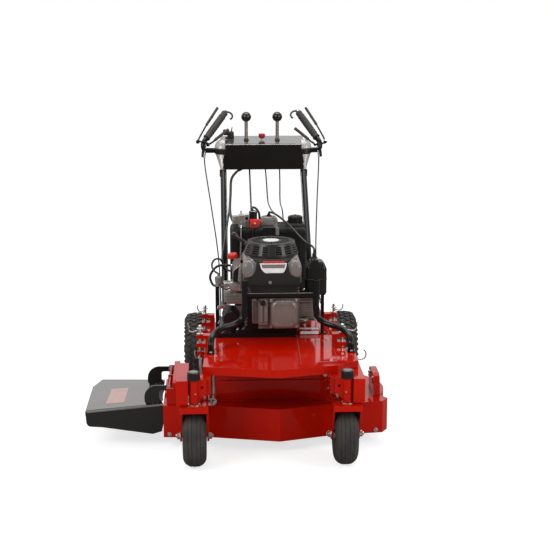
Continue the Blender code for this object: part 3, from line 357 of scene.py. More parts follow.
zinc = make_finish(
    "bright zinc", (0.78, 0.77, 0.74), (0.64, 0.62, 0.58), (0.2, 0.34), 700.0, 0.00004, metallic=1.0,
    drift=30.0, stretch=(1.0, 1.0, 0.15),
)
pale_zinc = make_finish(
    "dull zinc sheet", (0.4, 0.375, 0.355), (0.31, 0.29, 0.275), (0.3, 0.42), 500.0, 0.00004, metallic=0.35,
)
dark_steel = make_finish(
    "dark steel", (0.2, 0.185, 0.17), (0.15, 0.14, 0.13), (0.28, 0.42), 600.0, 0.00006, metallic=0.9,
    drift=20.0, stretch=(1.0, 1.0, 0.2),
)
tyre_rubber = make_finish(
    "tyre rubber", (0.026, 0.023, 0.0205), (0.04, 0.0355, 0.0315), (0.5, 0.7), 500.0, 0.00015, specular=0.3,
    drift=18.0, edge_light_and_wear=0.5, edge_light_and_wear_colour=(0.085, 0.076, 0.068),
)
hose_rubber = make_finish(
    "hose rubber", (0.0075, 0.0066, 0.006), (0.013, 0.0118, 0.0105), (0.3, 0.44), 900.0, 0.00005,
    specular=0.4, drift=25.0,
)
grip_rubber = make_finish(
    "grip rubber", (0.03, 0.0265, 0.024), (0.04, 0.0355, 0.032), (0.5, 0.66), 420.0, 0.0003, specular=0.3,
    pits=1.0,
)
red_plastic = make_finish(
    "red plastic", (0.56, 0.02, 0.01), (0.48, 0.014, 0.008), (0.28, 0.4), 1100.0, 0.00005, specular=0.45,
)
pale_plastic = make_finish(
    "smoky plastic", (0.15, 0.136, 0.126), (0.11, 0.1, 0.092), (0.2, 0.3), 800.0, 0.00004,
)
label_silver = make_finish(
    "bare label", (0.66, 0.65, 0.63), (0.6, 0.59, 0.57), (0.3, 0.38), 700.0, 0.00003, drift=40.0,
)
rose_label = make_finish(
    "bare rose label", (0.4, 0.25, 0.218), (0.35, 0.222, 0.195), (0.3, 0.4), 700.0, 0.00003, drift=40.0,
)
deep_black = make_finish(
    "deep black", (0.0045, 0.004, 0.0036), (0.006, 0.0054, 0.0048), (0.46, 0.6), 900.0, 0.00004,
    specular=0.18,
)
# The chute's top is truly glossy; its colour, lighter than the black pan, is a painted reflection
chute_top_sheen = make_finish(
    "chute top with painted sheen", (0.09, 0.08, 0.074), (0.07, 0.062, 0.057), (0.08, 0.14), 700.0, 0.00002,
    specular=1.0, edge_light_and_wear=0.4, edge_light_and_wear_colour=(0.18, 0.16, 0.15),
)
# The lid is truly glossy; its brown-grey, lighter than the black coat, is partly a painted reflection
lid_gloss = make_finish(
    "polished lid with painted sheen", (0.052, 0.047, 0.044), (0.042, 0.038, 0.036), (0.1, 0.16), 900.0, 0.00002, specular=1.0,
    edge_light_and_wear=0.4, edge_light_and_wear_colour=(0.12, 0.11, 0.1),
)
lever_steel = make_finish(
    "brown oiled steel", (0.3, 0.245, 0.215), (0.24, 0.195, 0.17), (0.22, 0.34), 600.0, 0.00004,
    metallic=0.55, drift=20.0, stretch=(1.0, 1.0, 0.2),
)
dark_red = make_finish(
    "dark red plastic", (0.3, 0.014, 0.008), (0.24, 0.01, 0.006), (0.28, 0.4), 1100.0, 0.00005, specular=0.4,
)
belt_rubber = make_finish(
    "belt rubber", (0.03, 0.028, 0.027), (0.045, 0.042, 0.04), (0.7, 0.85), 300.0, 0.0002, specular=0.3,
)
print("24 finishes")

# %% [markdown]
# ## Shapes
# A few workshop helpers make every new piece. Each starts from one of Blender's own shapes, or from a
# few points that are spun, extruded or bridged, and gives back a bmesh that other pieces can join.

# %% Blocks, bars and rounded edges
def rounded(shape, edge, steps=2, angle=30.0):
    # Bevels the edges that bend by more than the angle, as a real edge is never quite sharp
    limit = math.radians(angle)
    sharp = [e for e in shape.edges if len(e.link_faces) == 2 and e.calc_face_angle(0.0) > limit]
    if sharp and edge > 0:
        bmesh.ops.bevel(
            shape, geom=sharp, offset=edge, offset_type="OFFSET", segments=steps, profile=0.5, affect="EDGES",
            clamp_overlap=True, material=-1,
        )
    return shape


def block(low, high, edge=0.002, steps=2):
    # A box from its lowest to its highest corner
    low, high = Vector(low), Vector(high)
    shape = bmesh.new()
    bmesh.ops.create_cube(shape, size=1.0)
    bmesh.ops.scale(shape, vec=high - low, verts=shape.verts)
    bmesh.ops.translate(shape, vec=(low + high) / 2, verts=shape.verts)
    return rounded(shape, edge, steps)


def aim(shape, centre, axis):
    # Turns a shape made along +Z to point along the axis, and moves it to its centre
    turn = Vector(axis).to_track_quat("Z", "Y").to_matrix().to_4x4()
    bmesh.ops.transform(shape, matrix=Matrix.Translation(centre) @ turn, verts=shape.verts)
    return shape


def bar(start, end, radius, end_radius=None, sides=24, edge=0.0):
    # A straight round bar from start to end, tapered where the end radius differs
    start, end = Vector(start), Vector(end)
    shape = bmesh.new()
    bmesh.ops.create_cone(
        shape, cap_ends=True, segments=sides, radius1=radius,
        radius2=radius if end_radius is None else end_radius, depth=(end - start).length,
    )
    if edge:
        rounded(shape, edge)
    return aim(shape, (start + end) / 2, end - start)


def merge(shape, *others):
    # Joins the others into the first shape and frees them
    for other in others:
        held = bpy.data.meshes.new("held")
        other.to_mesh(held)
        other.free()
        shape.from_mesh(held)
        bpy.data.meshes.remove(held)
    return shape


sample = block((0, 0, 0), (0.1, 0.1, 0.1))
print("a rounded block has", len(sample.faces), "faces")
sample.free()

# %% [markdown]
# Wheels, caps and knobs are turned on a lathe: a half profile is spun round its axis. Sheet metal is a
# flat outline pushed to its thickness, with its holes already in the outline.

# %% Turned and flat shapes
def turned(profile, centre=(0.0, 0.0, 0.0), axis=(0.0, 0.0, 1.0), sides=48):
    # Spins a half profile of (radius, height) points round its axis
    shape = bmesh.new()
    points = [shape.verts.new((radius, 0.0, height)) for radius, height in profile]
    lines = [shape.edges.new(pair) for pair in zip(points, points[1:])]
    bmesh.ops.spin(
        shape, geom=points + lines, cent=(0, 0, 0), axis=(0, 0, 1), dvec=(0, 0, 0), angle=2 * math.pi,
        steps=sides, use_merge=True, use_duplicate=False,
    )
    bmesh.ops.remove_doubles(shape, verts=shape.verts, dist=0.000005)
    bmesh.ops.recalc_face_normals(shape, faces=shape.faces)
    return aim(shape, centre, axis)


def ring(centre, radius, count=24, start=0.0, end=360.0, closed=True):
    # Points of a circle, or of an arc when it isn't closed; the angles are in degrees
    steps = count if closed else count + 1
    turns = [math.radians(start + (end - start) * i / count) for i in range(steps)]
    return [(centre[0] + radius * math.cos(t), centre[1] + radius * math.sin(t)) for t in turns]


def rounded_corners(low, high, radius, count=5):
    (u0, v0), (u1, v1) = low, high
    corners = [
        ((u1 - radius, v0 + radius), -90), ((u1 - radius, v1 - radius), 0), ((u0 + radius, v1 - radius), 90),
        ((u0 + radius, v0 + radius), 180),
    ]
    return [p for spot, start in corners for p in ring(spot, radius, count, start, start + 90, False)]


def in_plane(shape, plane, at):
    # A shape drawn with u, v and a height w goes to the named plane, its height starting at "at"
    turns = {
        "XY": Matrix(((1, 0, 0, 0), (0, 1, 0, 0), (0, 0, 1, at), (0, 0, 0, 1))),
        "XZ": Matrix(((1, 0, 0, 0), (0, 0, 1, at), (0, 1, 0, 0), (0, 0, 0, 1))),
        "YZ": Matrix(((0, 0, 1, at), (1, 0, 0, 0), (0, 1, 0, 0), (0, 0, 0, 1))),
    }
    bmesh.ops.transform(shape, matrix=turns[plane], verts=shape.verts)
    return shape


def flat(outline, thickness, plane="XY", at=0.0, holes=(), edge=0.0, steps=1):
    # A plate with its outline in the named plane; a hole is (u, v, radius) or an outline of its own
    shape = bmesh.new()
    rim = []
    cuts = [hole if len(hole) > 3 else ring(hole[:2], hole[2], 20) for hole in holes]
    for loop in [outline] + cuts:
        corners = [shape.verts.new((u, v, 0.0)) for u, v in loop]
        rim += [shape.edges.new(pair) for pair in zip(corners, corners[1:] + corners[:1])]
    if holes:
        bmesh.ops.triangle_fill(shape, use_beauty=True, use_dissolve=False, edges=rim)
    else:
        bmesh.ops.contextual_create(shape, geom=rim)
    pushed = bmesh.ops.extrude_face_region(shape, geom=list(shape.faces))
    moved = [part for part in pushed["geom"] if isinstance(part, bmesh.types.BMVert)]
    bmesh.ops.translate(shape, vec=(0.0, 0.0, thickness), verts=moved)
    bmesh.ops.recalc_face_normals(shape, faces=shape.faces)
    rounded(shape, edge, steps, 50.0)
    return in_plane(shape, plane, at)


sample = turned([(0.0, 0.01), (0.02, 0.01), (0.02, 0.0), (0.0, 0.0)])
print("a turned disc has", len(sample.faces), "faces")
sample.free()

# %% [markdown]
# A moulded housing or a tank is a stack of closed outlines at rising heights. Bridging each outline to
# the next gives smooth walls, and outlines that draw in towards the top give a soft shoulder.

# %% Lofted shapes
def swept(rings):
    # Closed outlines that stand in space, such as the stations along an arc, bridged into one body
    shape = bmesh.new()
    loops = []
    for outline in rings:
        corners = [shape.verts.new(point) for point in outline]
        loops.append([shape.edges.new(pair) for pair in zip(corners, corners[1:] + corners[:1])])
    for before, after in zip(loops, loops[1:]):
        bmesh.ops.bridge_loops(shape, edges=before + after)
    for end in (loops[0], loops[-1]):
        bmesh.ops.contextual_create(shape, geom=end)
    bmesh.ops.recalc_face_normals(shape, faces=shape.faces)
    return shape


def loft(rings, plane="XY"):
    # The same for flat outlines at rising heights, each (points, height)
    return in_plane(swept([[(u, v, height) for u, v in outline] for outline, height in rings]), plane, 0.0)


def stack(*layers, count=5):
    # Rounded rectangles at rising heights, each (left, front, right, back, corner radius, height)
    return loft([(rounded_corners(layer[:2], layer[2:4], layer[4], count), layer[5]) for layer in layers])


def inset_corners(low, high, radius, inset, count=5):
    small = (low[0] + inset, low[1] + inset)
    large = (high[0] - inset, high[1] - inset)
    return rounded_corners(small, large, max(radius - inset * 0.6, 0.002), count)


def drawn_in(low, high, radius, steps, count=8, plane="XY"):
    # One rounded rectangle that draws in from step to step, each (inset, height)
    return loft([(inset_corners(low, high, radius, inset, count), height) for inset, height in steps], plane)


sample = stack((0.0, 0.0, 0.1, 0.1, 0.02, 0.0), (0.01, 0.01, 0.09, 0.09, 0.02, 0.05))
print("two rounded outlines are bridged by", len(sample.faces) - 2, "faces")
sample.free()

# %% [markdown]
# Tubes, hoses and rods follow a centre line. A bent tube has straight runs with rounded corners, while a
# hose or a cable runs in one smooth line through a few chosen points.

# %% Tubes along a line
def bent(points, radius, per_bend=6):
    # Straight runs between the points, with each corner rounded
    points = [Vector(p) for p in points]
    route = [points[0]]
    for before, corner, after in zip(points, points[1:], points[2:]):
        reach = min(radius, (before - corner).length / 2.1, (after - corner).length / 2.1)
        start = corner + (before - corner).normalized() * reach
        end = corner + (after - corner).normalized() * reach
        for step in range(per_bend + 1):
            t = step / per_bend
            route.append((1 - t) ** 2 * start + 2 * t * (1 - t) * corner + t**2 * end)
    route.append(points[-1])
    return route


def flowing(points, per_span=8):
    # One smooth line through all the points
    ends = [Vector(p) for p in points]
    padded = [2 * ends[0] - ends[1], *ends, 2 * ends[-1] - ends[-2]]
    route = []
    for a, b, c, d in zip(padded, padded[1:], padded[2:], padded[3:]):
        for step in range(per_span):
            t = step / per_span
            bend = (2 * a - 5 * b + 4 * c - d) * t**2 + (3 * b - a - 3 * c + d) * t**3
            route.append(0.5 * (2 * b + (c - a) * t + bend))
    route.append(ends[-1])
    return route


def tube(points, radius, roundness=4):
    # A curve with a round bevel is turned into a mesh, so that a tube follows any line
    line = bpy.data.curves.new("line", "CURVE")
    line.dimensions = "3D"
    line.bevel_depth = radius
    line.bevel_resolution = roundness
    line.use_fill_caps = True
    spline = line.splines.new("POLY")
    spline.points.add(len(points) - 1)
    for spot, point in zip(spline.points, points):
        spot.co = (*point, 1.0)
    holder = bpy.data.objects.new("line", line)
    bpy.context.scene.collection.objects.link(holder)
    bpy.context.view_layer.update()
    mesh = bpy.data.meshes.new_from_object(holder.evaluated_get(bpy.context.evaluated_depsgraph_get()))
    shape = bmesh.new()
    shape.from_mesh(mesh)
    bmesh.ops.remove_doubles(shape, verts=shape.verts, dist=0.000005)
    bpy.data.objects.remove(holder, do_unlink=True)
    bpy.data.meshes.remove(mesh)
    return shape


corner = [(0, 0, 0), (0.1, 0, 0), (0.1, 0.1, 0)]
print("a bent corner has", len(bent(corner, 0.02)), "points, a flowing one", len(flowing(corner)))

# %% [markdown]
# Much of the sheet metal already has its true shape in the frame. For those pieces we take a copy of the
# CAD node's mesh, weld its loose triangles, drop the needless lines and round every edge, as a press
# brake and a coat of powder paint would. The copy then stands for the node.

# %% Copies with rounded edges, and finished pieces
def copy_of(node, edge=0.0012, steps=2, angle=28.0):
    # The node's own mesh, welded, without needless lines and with rounded edges
    shape = bmesh.new()
    shape.from_mesh(nodes[node].data)
    bmesh.ops.remove_doubles(shape, verts=shape.verts, dist=0.00002)
    bmesh.ops.dissolve_limit(
        shape, angle_limit=math.radians(1.0), use_dissolve_boundaries=False, verts=shape.verts,
        edges=shape.edges, delimit=set(),
    )
    bmesh.ops.translate(shape, vec=-SHIFT, verts=shape.verts)
    return rounded(shape, edge, steps, angle)


made_pieces = []

# Each finish belongs to one of the record's material slots; a few pieces name another slot themselves
FINISHES_OF = {
    "red_paint": [red_paint], "black_powder_coat": [black_coat, lid_gloss],
    "engine_plastic": [engine_grey, pale_plastic],
    "black_plastic": [black_plastic, dark_plastic, gloss_black, deep_black, chute_top_sheen, rose_label],
    "cast_aluminium": [cast_alloy, bright_alloy],
    "zinc_steel": [zinc, pale_zinc, dark_steel, label_silver, lever_steel],
    "rubber": [hose_rubber, grip_rubber, belt_rubber], "tyre": [tyre_rubber],
    "red_plastic": [red_plastic, dark_red],
}
SLOT_OF = {finish: slot for slot, finishes in FINISHES_OF.items() for finish in finishes}


def keep(shape, name, material, body="frame", stands_for=(), slot=None, smooth=35.0):
    # Moves the shape to the frame's zero, names it and lets it ride on its body, if it has just one
    bmesh.ops.recalc_face_normals(shape, faces=shape.faces)
    bmesh.ops.translate(shape, vec=SHIFT, verts=shape.verts)
    mesh = bpy.data.meshes.new(name)
    shape.to_mesh(mesh)
    shape.free()
    mesh.materials.append(material)
    mesh.shade_smooth()
    mesh.set_sharp_from_angle(angle=math.radians(smooth))
    piece = bpy.data.objects.new(name, mesh)
    bpy.context.scene.collection.objects.link(piece)
    if body:
        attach(piece, body)
    slot or SLOT_OF[material]
    if stands_for:
        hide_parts(*stands_for)
    even = piece.modifiers.new("even shading", "WEIGHTED_NORMAL")
    even.keep_sharp = True
    made_pieces.append(piece)
    return piece


def hexagon_head(centre, axis, radius=0.0085, height=0.006, washer=True):
    # A bolt head or nut on its washer, with a slightly domed top; the centre is on the seating face
    profile = [(0.0, height), (radius * 0.8, height), (radius, height - 0.0012), (radius, 0.0), (0.0, 0.0)]
    head = turned(profile, sides=6)
    if washer:
        disc = turned(
            [
                (0.0, 0.0016), (radius * 1.42, 0.0016), (radius * 1.5, 0.001), (radius * 1.5, -0.0004),
                (0.0, -0.0004),
            ],
            sides=24,
        )
        bmesh.ops.translate(head, vec=(0, 0, 0.0014), verts=head.verts)
        merge(head, disc)
    return aim(head, centre, axis)


def facing_up(height, *spots):
    # Places on a level face, each (x, y), as bolts that look upwards
    return [((x, y, height), (0, 0, 1)) for x, y in spots]


def lug_circle(centre, side, out, radius, count, start):
    # Bolts in a circle round a wheel's axle, on the side that they look to
    turns = [math.radians(start + 360 * turn / count) for turn in range(count)]
    x, y, z = centre
    return [
        ((x + side * out, y + radius * math.cos(t), z + radius * math.sin(t)), (side, 0, 0)) for t in turns
    ]


def heads(spots, **sizes):
    # Several bolt heads as one shape; each spot is (centre, axis)
    shape = hexagon_head(*spots[0], **sizes)
    return merge(shape, *[hexagon_head(*spot, **sizes) for spot in spots[1:]])


FOOT_LEVEL = 0.3833  # The feet of all posts stand on the carrier plate, at this height
print("workshop helpers ready")

# %% [markdown]
# ## Carrier frame and deck
# The carrier frame, the caster posts, the forks and the deck are bent and welded steel plate. Their
# edges are rounded by about the thickness of the paint and the bend, which is what catches the light.

# %% Painted plate
for node, body, edge in (
    ("carrier_frame", "frame", 0.0016), ("right_caster_housing", "frame", 0.0014),
    ("left_caster_housing", "frame", 0.0014), ("right_axle_plate", "frame", 0.0012),
    ("left_axle_plate", "frame", 0.0012), ("right_caster_fork", "right_caster", 0.0014),
    ("left_caster_fork", "left_caster", 0.0014), ("deck_shell", "deck", 0.0022),
    ("chute_bracket", "deck", 0.0018),
):
    keep(copy_of(node, edge), "painted_" + node, red_paint, body, [node])
print(len(made_pieces), "painted pieces")

# %% [markdown]
# The crankcase is powder-coated black and stands on a base plate. The plate's front edge is drawn back
# to the foot of the engine, each of its three corners by its own distance.

# %% Engine block and base plate
BASE_PLATE_TOP = 0.4035
ENGINE_FOOT_Y = 0.46
CORNER_MOVES = ((-0.15, 0.134), (0.05, 0.119), (1.0, 0.026))  # For corners with x below the first value
crankcase = copy_of("engine_block", 0.0014)
for vertex in crankcase.verts:
    if vertex.co.z < BASE_PLATE_TOP and vertex.co.y < ENGINE_FOOT_Y:
        vertex.co.y += next(move for limit, move in CORNER_MOVES if vertex.co.x < limit)
keep(crankcase, "finished_engine_block", black_coat, "frame", ["engine_block"])
print(len(made_pieces), "pieces so far")

# %% [markdown]
# ## Wheels
# A front tyre is a smooth, rounded one with shallow ribs, so that the machine turns lightly. Its profile
# is turned on the lathe. The rim is two pressed dishes round a hub with bearing caps.

# %% Caster wheels
KINGPIN_X = {"right": -0.312, "left": 0.252}
CASTER_TRAIL = 0.06
CASTER_RADIUS = 0.1145
CASTER_HALF = 0.044
CASTER_BEAD = 0.045


def mirrored(half_profile):
    # A profile given from one side to the middle, with its mirror image added
    return half_profile + [(radius, -height) for radius, height in reversed(half_profile)]


def caster_tyre(centre):
    top = CASTER_RADIUS
    half = mirrored([
        (CASTER_BEAD, CASTER_HALF - 0.013), (CASTER_BEAD + 0.004, CASTER_HALF - 0.008),
        (CASTER_BEAD + 0.01, CASTER_HALF - 0.004), (CASTER_BEAD + 0.02, CASTER_HALF - 0.0008),
        (CASTER_BEAD + 0.032, CASTER_HALF), (top - 0.027, CASTER_HALF - 0.0008),
        (top - 0.018, CASTER_HALF - 0.0045), (top - 0.0105, CASTER_HALF - 0.0105),
        (top - 0.005, CASTER_HALF - 0.018), (top - 0.004, 0.024), (top - 0.005, 0.0232),
        (top - 0.005, 0.0222), (top - 0.0022, 0.0214), (top - 0.0008, 0.015), (top - 0.0004, 0.0106),
        (top - 0.0018, 0.0098), (top - 0.0018, 0.0086), (top, 0.0078), (top, 0.0),
    ])
    return turned(half + half[:1], centre, (1, 0, 0), 96)


def caster_rim(centre):
    hub = CASTER_HALF + 0.0015
    profile = mirrored([
        (0.0075, hub), (0.0165, hub), (0.0175, hub - 0.0015), (0.0175, 0.022), (0.02, 0.017), (0.028, 0.0135),
        (0.0345, 0.015), (0.0375, 0.0215), (0.04, 0.029), (0.0447, 0.0305), (0.0447, 0.0275), (0.043, 0.024),
        (0.043, 0.003), (0.0445, 0.0),
    ])
    shape = turned(profile + profile[:1], centre, (1, 0, 0), 64)
    spots = [spot for side in (-1, 1) for spot in lug_circle(centre, side, 0.0142, 0.029, 4, 45)]
    return merge(shape, heads(spots, radius=0.005, height=0.004))


for side, x in KINGPIN_X.items():
    middle = (x, CASTER_TRAIL, CASTER_RADIUS)
    wheel = side + "_caster_wheel"
    keep(caster_tyre(middle), side + "_ribbed_tyre", tyre_rubber, wheel, [side + "_caster_tyre"])
    keep(caster_rim(middle), side + "_pressed_rim", zinc, wheel, [side + "_caster_rim"])
print("caster tyres are", round(2 * CASTER_RADIUS, 3), "m across")

# %% [markdown]
# The rear tyres pull the machine, so they have a turf tread: rows of small chunky blocks that don't tear
# the grass. One block is a cube set on the round carcass, and five rows of them go round the tyre, each
# row turned and shifted a little against the next.

# %% Drive tyres
DRIVE_X = 0.016
DRIVE_HALF_TRACK = 0.318
DRIVE_Y = 1.094
DRIVE_RADIUS = 0.165
DRIVE_HALF = 0.0665
DRIVE_BEAD = 0.0635


def drive_carcass(centre):
    top = DRIVE_RADIUS - 0.0075
    half = mirrored([
        (DRIVE_BEAD, DRIVE_HALF - 0.018), (DRIVE_BEAD + 0.003, DRIVE_HALF - 0.011),
        (DRIVE_BEAD + 0.01, DRIVE_HALF - 0.005), (DRIVE_BEAD + 0.022, DRIVE_HALF - 0.0012),
        (DRIVE_BEAD + 0.036, DRIVE_HALF - 0.0002), (DRIVE_BEAD + 0.04, DRIVE_HALF),
        (DRIVE_BEAD + 0.044, DRIVE_HALF - 0.0004), (top - 0.026, DRIVE_HALF - 0.0016),
        (top - 0.014, DRIVE_HALF - 0.005), (top - 0.006, DRIVE_HALF - 0.012),
        (top - 0.002, DRIVE_HALF - 0.022), (top, DRIVE_HALF - 0.036), (top + 0.001, 0.0),
    ])
    return turned(half + half[:1], centre, (1, 0, 0), 80)


def tread_blocks(centre):
    rows = [
        # across, radius, lean outwards, length round, width across, turn, share of a step
        (0.0, DRIVE_RADIUS - 0.004, 0.0, 0.015, 0.017, 32.0, 0.0),
        (0.0235, DRIVE_RADIUS - 0.0044, 4.0, 0.016, 0.0175, -28.0, 0.5),
        (-0.0235, DRIVE_RADIUS - 0.0044, -4.0, 0.016, 0.0175, -28.0, 0.5),
        (0.0465, DRIVE_RADIUS - 0.0085, 17.0, 0.017, 0.0175, 24.0, 0.05),
        (-0.0465, DRIVE_RADIUS - 0.0085, -17.0, 0.017, 0.0175, 24.0, 0.05),
        (0.0605, DRIVE_RADIUS - 0.0235, 58.0, 0.012, 0.02, 0.0, 0.3),
        (-0.0605, DRIVE_RADIUS - 0.0235, -58.0, 0.012, 0.02, 0.0, 0.3),
    ]
    blocks_round = 38
    shape = bmesh.new()
    for across, radius, lean, long, wide, turn, share in rows:
        set_down = Matrix.Translation((across, 0.0, radius)) @ Matrix.Rotation(math.radians(lean), 4, "Y")
        size = Matrix.Rotation(math.radians(turn), 4, "Z") @ Matrix.Diagonal((wide, long, 0.0085, 1.0))
        for step in range(blocks_round):
            spin = Matrix.Rotation(2 * math.pi * (step + share) / blocks_round, 4, "X")
            bmesh.ops.create_cube(shape, size=1.0, matrix=Matrix.Translation(centre) @ spin @ set_down @ size)
    return rounded(shape, 0.0012, 1)


print("drive tyres are", round(2 * DRIVE_RADIUS, 3), "m across")

# %% [markdown]
# The rear rims are pressed dishes too, and the pulley of the wheel's belt is fixed to their inner side, so
# one profile is turned for both. Five nuts and a tyre valve show on the outer face.

# %% Drive rims and hubs
def drive_rim(side_sign, centre):
    # Positive heights look outwards, away from the machine
    profile = [
        (0.0133, 0.06), (0.021, 0.06), (0.0225, 0.0585), (0.0225, 0.017), (0.03, 0.012), (0.04, 0.01),
        (0.047, 0.0135), (0.0515, 0.026), (0.056, 0.044), (0.059, 0.05), (0.0632, 0.0505), (0.0632, 0.0465),
        (0.06, 0.042), (0.0585, 0.02), (0.0585, -0.03), (0.06, -0.042), (0.0632, -0.0465), (0.0632, -0.05),
        (0.057, -0.049), (0.054, -0.04), (0.053, 0.0), (0.047, 0.006), (0.03, 0.006), (0.03, -0.08),
        (0.09, -0.0815), (0.0945, -0.083), (0.0945, -0.085), (0.087, -0.0905), (0.087, -0.0925),
        (0.0945, -0.098), (0.0945, -0.1), (0.09, -0.1015), (0.0133, -0.1025),
    ]
    shape = turned(profile + profile[:1], centre, (side_sign, 0, 0), 72)
    nuts = heads(lug_circle(centre, side_sign, 0.0105, 0.036, 5, 18), radius=0.006, height=0.007)
    valve = (centre[0] + side_sign * 0.03, centre[1] - 0.048, centre[2])
    valve_tip = (valve[0] + side_sign * 0.026, valve[1] - 0.004, valve[2])
    return merge(shape, nuts, bar(valve, valve_tip, 0.0028, sides=12))


SIGN = {"right": -1.0, "left": 1.0}
for side, sign in SIGN.items():
    middle = (DRIVE_X + sign * DRIVE_HALF_TRACK, DRIVE_Y, DRIVE_RADIUS)
    tyre = merge(drive_carcass(middle), tread_blocks(middle))
    keep(tyre, side + "_turf_tyre", tyre_rubber, side + "_drive_wheel", [side + "_drive_tyre"], smooth=30.0)
    keep(drive_rim(sign, middle), side + "_dished_rim", zinc, side + "_drive_wheel", [side + "_drive_rim"])
    nut_at = DRIVE_X + sign * (DRIVE_HALF_TRACK + DRIVE_HALF - 0.003)
    keep(hexagon_head((nut_at, DRIVE_Y, DRIVE_RADIUS), (sign, 0, 0), 0.015, 0.008), side + "_hub_nut", zinc)
print(len(made_pieces), "pieces so far")

# %% [markdown]
# On top of each caster post sits a black dust cap, pressed over the kingpin. Below, a zinc bolt with a
# locking nut carries the wheel, and a grease nipple feeds the post.

# %% Kingpin caps, axle nuts and grease nipples
HOUSING_TOP = 0.37
for side, x in KINGPIN_X.items():
    cap = turned(
        [
            (0.0, 0.0085), (0.008, 0.0085), (0.01, 0.01), (0.0195, 0.01), (0.0225, 0.008), (0.0238, 0.004),
            (0.0238, -0.018), (0.0228, -0.02), (0.0186, -0.02), (0.0186, -0.001), (0.0, -0.001),
        ],
        (x, 0.0, HOUSING_TOP + 0.0012),
    )
    keep(cap, side + "_kingpin_cap", black_plastic)
    disc = turned(
        [
            (0.0, 0.0112), (0.015, 0.0112), (0.0162, 0.0106), (0.0162, 0.01), (0.0104, 0.0098),
            (0.0084, 0.0083), (0.0, 0.0083),
        ],
        (x, 0.0, HOUSING_TOP + 0.0012),
    )
    keep(disc, side + "_kingpin_disc", pale_plastic, slot="black_plastic")
    nuts = [((x + sign * 0.0533, CASTER_TRAIL, CASTER_RADIUS), (sign, 0, 0)) for sign in (-1, 1)]
    shape = merge(
        heads(nuts, radius=0.0125, height=0.0105),
        bar(
            (x - 0.071, CASTER_TRAIL, CASTER_RADIUS), (x + 0.071, CASTER_TRAIL, CASTER_RADIUS), 0.0063,
            edge=0.001,
        ),
    )
    keep(shape, side + "_axle_bolt", zinc, side + "_caster")
    nipple = turned(
        [
            (0.0, 0.011), (0.0014, 0.011), (0.002, 0.0095), (0.0014, 0.008), (0.0022, 0.006), (0.0032, 0.005),
            (0.0032, 0.0), (0.0, 0.0),
        ],
        (x - SIGN[side] * 0.006, -0.017, 0.3), (-SIGN[side] * 0.3, -1, 0.25), 16,
    )
    keep(nipple, side + "_grease_nipple", zinc)
    swivel = turned(
        [(0.0125, 0.0028), (0.0225, 0.0028), (0.0232, 0.002), (0.0232, 0.0), (0.0125, 0.0), (0.0125, 0.0028)],
        (x, 0.0, 0.2556), sides=40,
    )
    keep(swivel, side + "_swivel_washer", zinc, side + "_caster")
print(len(made_pieces), "pieces so far")

# %% [markdown]
# ## Engine
# The blower housing is one deep moulding: soft shoulders above, a sunken middle panel in front and a
# skirt below that leads the cooling air down over the cylinder. The panel and the skirt are darker and the
# shoulders lighter, partly their own tones and partly painted light and shade: the shoulders catch the
# light, the front faces turn from it. It is bridged from rounded outlines that draw in towards the top,
# and the shoulders are two more lofted bodies.

# %% Blower housing
BLOWER_LOW = (-0.124, 0.455)
BLOWER_HIGH = (0.115, 0.72)


def blower_shell():
    steps = [
        (0.002, 0.6003), (0.0, 0.603), (0.0, 0.66), (0.0018, 0.674), (0.0055, 0.685), (0.011, 0.694),
        (0.018, 0.7), (0.027, 0.7036),
    ]
    return drawn_in(BLOWER_LOW, BLOWER_HIGH, 0.045, steps)


def shoulder(x_low, x_high):
    # A swelling beside the sunken panel, drawn in at its top, front and sides
    layers = []
    for out, tuck, height in (
        (0.0, 0.008, 0.629), (0.0035, 0.004, 0.635), (0.0042, 0.0, 0.65), (0.0042, 0.0, 0.67),
        (0.002, 0.003, 0.683), (-0.005, 0.009, 0.693), (-0.016, 0.016, 0.7),
    ):
        front, back = BLOWER_LOW[1] - out, BLOWER_LOW[1] + 0.075
        layers.append((x_low + tuck, front, x_high - tuck, back, 0.016, height))
    return stack(*layers)


def blower_skirt():
    body = block((-0.1005, 0.452, 0.567), (0.0955, 0.4695, 0.612), 0.005, 3)
    chin = stack(
        (-0.108, 0.45, 0.101, 0.48, 0.012, 0.596), (-0.1165, 0.4485, 0.109, 0.48, 0.014, 0.603),
        (-0.1165, 0.4485, 0.109, 0.48, 0.014, 0.629), (-0.11, 0.452, 0.103, 0.48, 0.014, 0.635), count=4,
    )
    return merge(body, chin)


def cheek(x_low, x_high, y_low, y_high):
    # The side panel that bulges over the governor, on the starter's side
    return stack(
        (x_low + 0.01, y_low + 0.006, x_high, y_high - 0.006, 0.01, 0.6),
        (x_low, y_low, x_high, y_high, 0.012, 0.612), (x_low + 0.004, y_low, x_high, y_high, 0.012, 0.662),
        (x_low + 0.018, y_low + 0.01, x_high, y_high - 0.01, 0.01, 0.684), count=4,
    )


# The housing's light grey stands partly for the light its shoulders catch: a painted reflection
shell = merge(
    blower_shell(), shoulder(-0.123, -0.07), shoulder(0.062, 0.114), cheek(-0.14, -0.118, 0.478, 0.56),
)
keep(shell, "moulded_blower_housing", engine_grey, "frame", ["blower_housing"], smooth=40.0)
panel = flat(
    [
        (-0.066, 0.69), (0.058, 0.69), (0.064, 0.656), (0.072, 0.643), (0.088, 0.634), (0.105, 0.63),
        (-0.113, 0.63), (-0.096, 0.634), (-0.08, 0.643), (-0.072, 0.656),
    ],
    0.006, "XZ", 0.45, edge=0.001,
)
# A deep black band under the front of the recoil cover: a painted shadow cast by the cover
shadow_apron = stack(
    (-0.062, 0.4498, 0.056, 0.56, 0.012, 0.688), (-0.08, 0.462, 0.074, 0.56, 0.016, 0.7),
    (-0.09, 0.48, 0.084, 0.56, 0.018, 0.7052),
)
